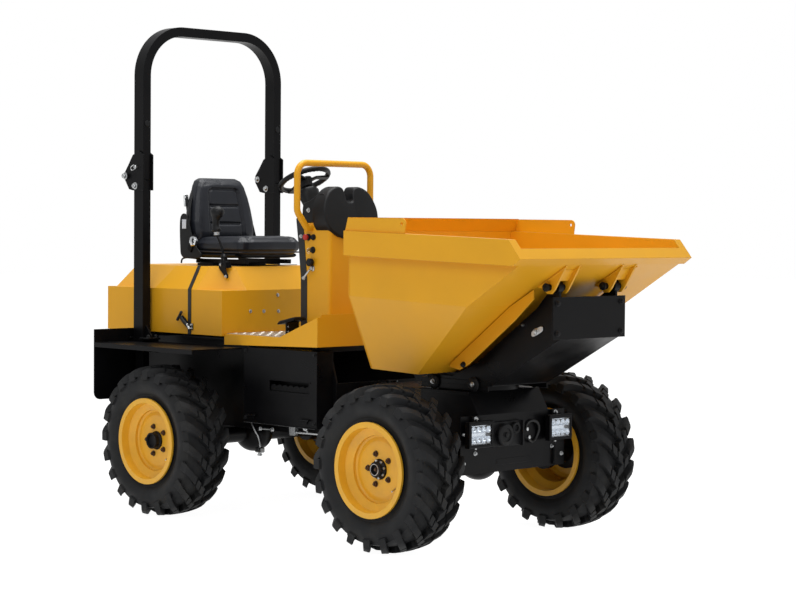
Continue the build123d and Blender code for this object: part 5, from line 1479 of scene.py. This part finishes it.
@dataclass
class Deck(SubAssembly):
    """Tread plate bars, toothed lips of the toe slots, and the step boxes' brackets and rods."""

    low: tuple = (-0.570, -0.375)
    high: tuple = (0.040, 0.375)
    top_z: float = 0.903
    pitch: float = 0.030
    bar: tuple = (0.0115, 0.0034, 0.0016)     # half length, half width, height
    console: tuple = (-0.292, -0.045, 0.172)  # rear, front and half width that the bars leave clear
    slot: tuple = (-0.246, 0.038)
    outer_y: float = 0.375

    def bars(self) -> Shell:
        """Lay lozenge bars on a grid, each square to its neighbours, clear of the console's foot.

        Returns:
            All the bars as one skin.
        """
        nx = int((self.high[0] - self.low[0]) / self.pitch) - 1
        ny = int((self.high[1] - self.low[1]) / self.pitch) - 1
        i, j = np.meshgrid(np.arange(nx), np.arange(ny), indexing="ij")
        x = self.low[0] + self.pitch * (i + 1.0)
        y = self.low[1] + self.pitch * (j + 1.0)
        rear, front, half = self.console
        clear = ~((x > rear) & (x < front) & (np.abs(y) < half))
        x, y, odd = x[clear], y[clear], ((i + j) % 2)[clear]
        turn = np.radians(45 + 90 * odd)
        far, wide, high = self.bar
        near = far * 0.45
        base = np.array([(-far, 0), (-near, -wide), (near, -wide), (far, 0), (near, wide), (-near, wide)])
        both = np.vstack([np.column_stack([base, np.zeros(6)]),
                          np.column_stack([base * 0.62, np.full(6, high)])])
        c, s = np.cos(turn)[:, None], np.sin(turn)[:, None]
        px = x[:, None] + both[None, :, 0] * c - both[None, :, 1] * s
        py = y[:, None] + both[None, :, 0] * s + both[None, :, 1] * c
        pz = self.top_z - 0.0004 + np.broadcast_to(both[None, :, 2], px.shape)
        sides = [[k, (k + 1) % 6, 6 + (k + 1) % 6, 6 + k] for k in range(6)]
        one = sides + [[6, 7, 8, 9, 10, 11], [5, 4, 3, 2, 1, 0]]
        faces = [[12 * n + v for v in face] for n in range(len(x)) for face in one]
        return Shell(np.stack([px, py, pz], -1).reshape(-1, 3), faces)

    def build_steps(self) -> None:
        """Make the slots' toothed lips, the box's lid line and its lower brackets.

        A lip's top edge is 0.663 + 0.009 * |sin(pi * x / 40.6 mm)| ** 0.6.
        """
        lips, flanges, bolts = [], [], []
        spots = ((-0.425, 0.826), (0.070, 0.826), (-0.425, 0.50), (0.070, 0.50))
        rear, front = self.slot
        x = np.linspace(rear, front, 71)
        wave = 0.663 + 0.009 * np.abs(np.sin(np.pi * (x - rear) / 0.0406)) ** 0.6
        outline = [(rear, 0.641)] + list(zip(x.tolist(), wave.tolist())) + [(front, 0.641)]
        for side in SIDES:
            lips.append(side_slab(outline[::-1], side * (self.outer_y - 0.010), 0.006))
            lips.append(tube([(end, side * (self.outer_y + 0.0005), 0.692)
                              for end in (rear - 0.006, front + 0.006)], 0.0025, 8))
            for fx in (-0.372, 0.010):
                flanges.append(block((fx - 0.034, side * (self.outer_y - 0.002), 0.512),
                                     (fx + 0.034, side * (self.outer_y + 0.016), 0.519), 0.001))
                flanges.append(side_slab([(fx - 0.022, 0.519), (fx + 0.022, 0.519), (fx + 0.012, 0.496),
                                          (fx - 0.012, 0.496)], side * (self.outer_y + 0.003), 0.006))
            flanges.append(tube([(end, side * (self.outer_y + 0.001), 0.478) for end in (-0.436, 0.082)],
                                0.0035, 8))
            bolts += [bolt(0.0075).on_side((x, side * self.outer_y, z), side) for x, z in spots]
        self.add("toe_slot_lips", lips, BLACK, 25)
        self.add("step_box_brackets", flanges, BLACK, 25)
        self.add("step_box_bolts", bolts, CASTING)

    def build_underside(self) -> None:
        """Make the drain pipe with its tap, the linkage rod and its brackets under the right step box."""
        y = -0.335
        pipe = spline([(-0.428, y, 0.478), (-0.424, y, 0.462), (-0.398, y, 0.428), (-0.376, y, 0.402),
                       (-0.366, y, 0.376), (-0.362, y, 0.352)], 40)
        tap = turned([(0.004, 0.0), (0.009, 0.002), (0.012, 0.006), (0.012, 0.016), (0.009, 0.020),
                      (0.009, 0.030), (0.013, 0.033), (0.013, 0.040), (0.006, 0.043)], 8)
        cock = block((-0.384, y - 0.014, 0.326), (-0.344, y + 0.014, 0.352), 0.004)
        across = (0, 1, 0)
        crank = spline([(-0.018, y, 0.450), (-0.022, y, 0.462), (-0.024, y, 0.478)], 10)
        rod = [tube([(-0.120, y, 0.446), (0.060, y, 0.450)], 0.0055, 12, across),
               tube(crank, 0.005, 10, across),
               tube([(-0.352, y, 0.446), (-0.262, y, 0.448)], 0.0048, 12, across)]
        spots = ((-0.348, 0.446), (-0.259, 0.448), (-0.022, 0.470))
        nuts = [bolt(0.0085).on_side((x, y - 0.012, z), -1) for x, z in spots]
        self.add("drain_pipe", [tube(pipe, 0.0042, 10, across),
                                tap.moved((-0.364, y, 0.352), (1, 0, 0), (0, 0, -1)), cock], ZINC)
        plate = [(-0.142, 0.478), (-0.100, 0.478), (-0.102, 0.430), (-0.140, 0.430)]
        plates = [side_slab(plate, y + aside, 0.004) for aside in (-0.006, 0.010)]
        self.add("linkage", rod + nuts + plates, ZINC)

    def build(self) -> None:
        """Make everything of the deck."""
        self.add("tread_bars", [self.bars()], TREAD_PLATE, 20)
        self.build_steps()
        self.build_underside()


# ---------------------------------------------------------------- skip and front


@dataclass
class SkipFittings(SubAssembly):
    """Weld beads, belly ribs and pins of the skip and the frame it stands on."""

    body: str = "slew_frame"
    tip: tuple = (1.405, 1.180)
    wall_y: float = 0.540

    def bead(self, path: list, radius: float = 0.0030) -> Shell:
        """Carry a rippled weld bead along a path: r * (1 + 0.12 * sin(2 pi * length / ripple)).

        Args:
            path: corners the bead runs through.
            radius: of the bead.

        Returns:
            The skin.
        """
        step, ripple = 0.003, 0.006
        p = np.asarray(path, float)
        length = np.r_[0, np.cumsum(np.linalg.norm(np.diff(p, axis=0), axis=1))]
        fine = np.arange(0, length[-1], step)
        q = np.stack([np.interp(fine, length, p[:, k]) for k in range(3)], 1)
        return tube(q, radius, 6, (0.13, 0.99, 0.05), 1 + 0.12 * np.sin(2 * np.pi * fine / ripple))

    def build_beads(self) -> None:
        """Make the beads under the rim band, at its mitred corners and up the rear edges."""
        shells = []
        for side in SIDES:
            y = side * (self.wall_y + 0.001)
            shells.append(self.bead([(0.482, y, 1.304), (1.495, y, 1.277)]))
            shells.append(self.bead([(0.478, side * (self.wall_y - 0.001), 1.300),
                                     (0.4775, side * self.wall_y, 1.125), (0.4845, side * 0.402, 0.790)]))
            for edge in SIDES:
                ly = side * 0.190 + edge * 0.0505
                shells.append(self.bead([(1.345, ly, 1.178), (1.498, ly, 1.268)]))
        self.add("skip_weld_beads", shells, YELLOW, 60, body="skip")

    def build_ribs(self) -> None:
        """Make the two stiffening ribs under the belly with their end bolts."""
        outline = [(0.846, 0.8100), (0.905, 0.799), (0.960, 0.826), (1.236, 1.036), (1.338, 1.127),
                   (1.338, 1.168), (1.205, 1.0925), (0.850, 0.826)]
        ribs = [side_slab(outline, side * 0.262, 0.008, 0.001) for side in SIDES]
        self.add("belly_ribs", ribs, YELLOW, 25, body="skip")
        self.add("belly_rib_bolts", on_flanks(bolt(0.0105, 0.006), 0.266, ((0.930, 0.824),)),
                 CASTING, body="skip")

    def build_pins(self) -> None:
        """Make the pin heads of the tipping pivots and the keeper plates of the ram's pin."""
        x, z = self.tip
        head = turned([(0.006, 0.0), (0.0185, 0.0), (0.0185, 0.004), (0.0170, 0.006), (0.0090, 0.007),
                       (0.0080, 0.010), (0.003, 0.011)], 28)
        heads = []
        for side in SIDES:
            heads.append(head.on_side((x, side * 0.2595, z), side))
            heads.append(head.on_side((x, side * 0.1205, z), -side))
        self.add("tip_pin_heads", heads, CASTING)
        keepers, bolts = [], []
        stud = turned([(0.003, 0), (0.006, 0.0), (0.006, 0.008), (0.003, 0.014)], 10)
        for side in SIDES:
            y = side * 0.1965
            plate = rounded([(1.272, 0.972), (1.284, 0.962), (1.330, 0.985), (1.337, 1.000), (1.326, 1.009),
                             (1.280, 0.988)], 36)
            keepers.append(side_slab(plate, y + side * 0.003, 0.006, 0.0015))
            bolts.append(bolt(0.0115, 0.004).on_side((1.300, y + side * 0.005, 0.984), side))
            bolts.append(stud.on_side((1.222, y, 1.010), side))
        self.add("ram_pin_keepers", keepers, ZINC)
        self.add("ram_pin_bolts", bolts, ZINC)
        bolts = [bolt(0.010).on_nose((1.4325, y, zz)) for y in (-0.215, 0.215) for zz in (0.982, 1.112)]
        self.add("nose_plate_bolts", bolts, CASTING)

    def build_base(self) -> None:
        """Make the slewing base's skirt, the swivel housing on it and the capped pins in its sides."""
        low, high, rear, front = 0.704, 0.729, 0.604, 1.020
        flank = rectangle((rear, low), (front, high))
        skirts = [side_slab(flank, side * 0.197, 0.006, 0.001) for side in SIDES]
        skirts.append(block((rear, -0.199, low), (rear + 0.006, 0.199, high), 0.001))
        housing = [block((0.612, -0.168, 0.758), (0.842, 0.168, 0.783), 0.005)]
        housing += [block((0.612, side * 0.126 - 0.042, 0.7495), (0.842, side * 0.126 + 0.042, 0.765),
                          0.002) for side in SIDES]
        self.add("slew_base_skirt", skirts + housing, BLACK, 25)
        cap = turned([(0.010, 0.0), (0.030, 0.0), (0.033, 0.003), (0.033, 0.009), (0.029, 0.012),
                      (0.010, 0.013)], 32)
        spots = ((0.690, 0.733), (0.935, 0.733))
        self.add("slew_pin_caps", on_flanks(cap, 0.1995, spots), CASTING)
        self.add("slew_pin_nuts", on_flanks(bolt(0.0085, 0.004), 0.2125, spots), ZINC)

    def build(self) -> None:
        """Make everything of the skip."""
        self.build_beads()
        self.build_ribs()
        self.build_pins()
        self.build_base()


@dataclass
class WorkLamp(SubAssembly):
    """One work light: die-cast box with cooling fins, eight dished reflectors, lens, visor and yoke."""

    body: str = "front_frame"
    side: int = 1
    x: tuple = (1.009, 1.047)
    y: tuple = (0.190, 0.346)
    z: tuple = (0.462, 0.577)
    wall: float = 0.0135
    columns: int = 4
    rows: int = 2
    fins: int = 7
    fin_half: float = 0.0018
    chip_half: float = 0.0036
    middle_y: float = 0.268          # of the yoke and its bolts

    def build(self) -> list:
        """Make the lamp.

        Returns:
            Its housing's skins, which the two lamps share in one piece.
        """
        (x0, x1), (z0, z1) = self.x, self.z
        y0, y1 = sorted((self.side * self.y[0], self.side * self.y[1]))
        cy, cz = (y0 + y1) / 2, (z0 + z1) / 2
        w = self.wall
        outer = np.array(rectangle((y0, z0), (y1, z1)))
        inner = np.array(rectangle((y0 + w, z0 + w), (y1 - w, z1 - w)))
        bowl = inner + np.sign((cy, cz) - inner) * 0.002
        loops = [(x0 + 0.010, outer), (x1 - 0.003, outer), (x1, outer + np.sign((cy, cz) - outer) * 0.003),
                 (x1, inner), (x1 - 0.004, bowl), (x0 + 0.016, bowl)]
        case = grid_skin(np.stack([np.column_stack([np.full(4, x), flat]) for x, flat in loops]),
                         wrap_columns=True, caps=True)
        shells = [case]
        for fy in np.linspace(y0 + 0.012, y1 - 0.012, self.fins):
            shells.append(block((x0, fy - self.fin_half, z0 + 0.008),
                                (x0 + 0.012, fy + self.fin_half, z1 - 0.008)))
        shells.append(block((x1 - 0.024, y0 - 0.001, z1 - 0.001), (x1, y1 + 0.001, z1 + 0.003), 0.001))
        cups, chips = [], []
        step_y, step_z = (y1 - y0 - 2 * w) / self.columns, (z1 - z0 - 2 * w) / self.rows
        cup = turned([(0.0040, 0.000), (0.0065, 0.003), (0.0105, 0.009), (0.0140, 0.0155), (0.0150, 0.0155),
                      (0.0150, 0.000)], 20)
        h = self.chip_half
        for i in range(self.columns):
            for j in range(self.rows):
                x, y, z = x0 + 0.017, y0 + w + step_y * (i + 0.5), z0 + w + step_z * (j + 0.5)
                cups.append(cup.on_nose((x, y, z)))
                chips.append(block((x, y - h, z - h), (x + 0.0025, y + h, z + h), 0.0005))
        name = "right" if self.side < 0 else "left"
        back = front_slab(inner, x0 + 0.0165, 0.002)
        self.add(f"lamp_reflectors_{name}", cups + [back], REFLECTOR, 40)
        self.add(f"lamp_chips_{name}", chips, TAG)
        pane = rectangle((y0 + w - 0.001, z0 + w - 0.001), (y1 - w + 0.001, z1 - w + 0.001))
        lens = front_slab(pane, x1 - 0.004, 0.002, 0.0004)
        self.add(f"lamp_lens_{name}", [lens], LENS)
        middle = self.side * self.middle_y
        yoke = [block((0.9955, middle - 0.020, 0.470), (1.010, middle + 0.020, 0.600), 0.002)]
        self.add(f"lamp_yoke_{name}", yoke, BLACK)
        bolts = [bolt(0.007).moved((1.0095, middle, z0 - 0.002), (1, 0, 0), (0, 0, -1)),
                 bolt(0.008, 0.004).on_nose((1.010, middle, 0.588))]
        self.add(f"lamp_bolts_{name}", bolts, ZINC)
        return shells


@dataclass
class FrontFittings(SubAssembly):
    """Lamps, slew motor cover, pipe loop, brackets and bolts on the nose of the front frame."""

    body: str = "front_frame"
    face_x: float = 0.995

    def build(self) -> None:
        """Make the lamps and what stands between them."""
        shells = WorkLamp(side=-1).build() + WorkLamp(side=1).build()
        case = self.add("lamp_cases", shells, BLACK, 25)
        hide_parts("work_lights")
        x = self.face_x
        cover = turned([(0.010, 0.0), (0.050, 0.0), (0.050, 0.022), (0.046, 0.027), (0.030, 0.029),
                        (0.028, 0.024), (0.012, 0.024), (0.011, 0.032), (0.004, 0.034)], 44)
        port = turned([(0.010, 0.0), (0.026, 0.0), (0.026, 0.018), (0.022, 0.021), (0.015, 0.018),
                       (0.014, 0.010), (0.010, 0.010)], 32)
        plates = [block((x, -0.150, 0.452), (x + 0.012, 0.036, 0.566), 0.003),
                  block((x, 0.030, 0.452), (x + 0.030, 0.038, 0.566), 0.002)]
        self.add("slew_motor_cover", [cover.on_nose((x + 0.012, -0.089, 0.507)),
                                      port.on_nose((x + 0.012, -0.014, 0.534))] + plates, CASTING, 30)
        a = np.linspace(np.radians(-150), np.radians(165), 40)
        loop = np.stack([x + 0.010 + 0.006 * np.sin(2 * a), 0.116 + 0.043 * np.cos(a),
                         0.509 + 0.048 * np.sin(a)], 1)
        self.add("nose_pipe", [tube(loop, 0.0062, 12, (1, 0, 0))], EDGING, 60)
        nut = turned([(0.004, 0), (0.009, 0.0), (0.009, 0.012), (0.005, 0.014)], 6)
        ends = [nut.on_nose(tuple(loop[k])) for k in (0, -1)]
        spots = ((-0.255, 0.432), (-0.330, 0.520), (0.262, 0.430), (-0.135, 0.556), (-0.135, 0.464),
                 (0.020, 0.464), (0.330, 0.392), (-0.330, 0.392))
        bolts = [bolt(0.0075, 0.003).on_nose((x, y, z)) for y, z in spots]
        self.add("nose_bolts", bolts + ends, ZINC)
        rod = [tube([(x + 0.010, 0.272, 0.440), (x + 0.010, 0.273, 0.345)], 0.0065, 12, (1, 0, 0)),
               *(block((x, 0.262, z), (x + 0.012, 0.284, z + 0.010), 0.001) for z in (0.352, 0.418))]
        self.add("nose_rod", rod, BLACK)
        stiffener = [front_slab(rounded([(-0.10, 0.372), (0.10, 0.372), (0.11, 0.384), (0.10, 0.396),
                                         (-0.10, 0.396), (-0.11, 0.384)], 40), x + 0.0005, 0.0015)]
        self.add("nose_stiffener", stiffener, BLACK, 25)


# ---------------------------------------------------------------- main


CAD_FINISHES = {"yellow_paint": YELLOW, "black_paint": BLACK, "rubber": RUBBER, "seal_rubber": EDGING,
                "black_plastic": PLASTIC, "vinyl": VINYL, "steel": ZINC, "chrome": CHROME,
                "alu_tread": TREAD_PLATE, "cast": CASTING, "lamp": BLACK}


def dress_frame(frame: dict) -> None:
    """Give each CAD node the finish of its slot.
    """
    slots = {part["node"]: part["material_slot"] for part in frame["record"]["subparts"]}
    for name, node in frame["nodes"].items():
        finish = RIM_YELLOW if name.startswith("wheel_rim") else CAD_FINISHES[slots[name]]
        for entry in node.material_slots:
            entry.material = finish.material()


def wheel_centre(corner: str) -> tuple:
    """Return a wheel's centre: the middle of its tyre's box."""
    low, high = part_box(f"tyre_{corner}")
    return tuple(((low + high) / 2)[:])


def main() -> None:
    """Build the studio, the finishes and every sub-assembly in order."""
    logging.basicConfig(level=logging.INFO, format="%(message)s")
    bpy.context.scene.view_settings.view_transform = "Standard"
    for old in list(bpy.data.objects):
        bpy.data.objects.remove(old)
    studio = Studio()
    studio.add_camera()
    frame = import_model()
    studio.add_floor()
    studio.add_light()
    dress_frame(frame)
    for corner in CORNERS:
        side = -1 if corner.endswith("right") else 1
        TreadTyre(corner, wheel_centre(corner)).build(RUBBER)
        WheelCentre(corner, wheel_centre(corner), side).build()
    Seat().build()
    Console().build()
    HoodFittings().build()
    HoopFittings().build()
    Deck().build()
    SkipFittings().build()
    FrontFittings().build()


if __name__ == "__main__":
    main()
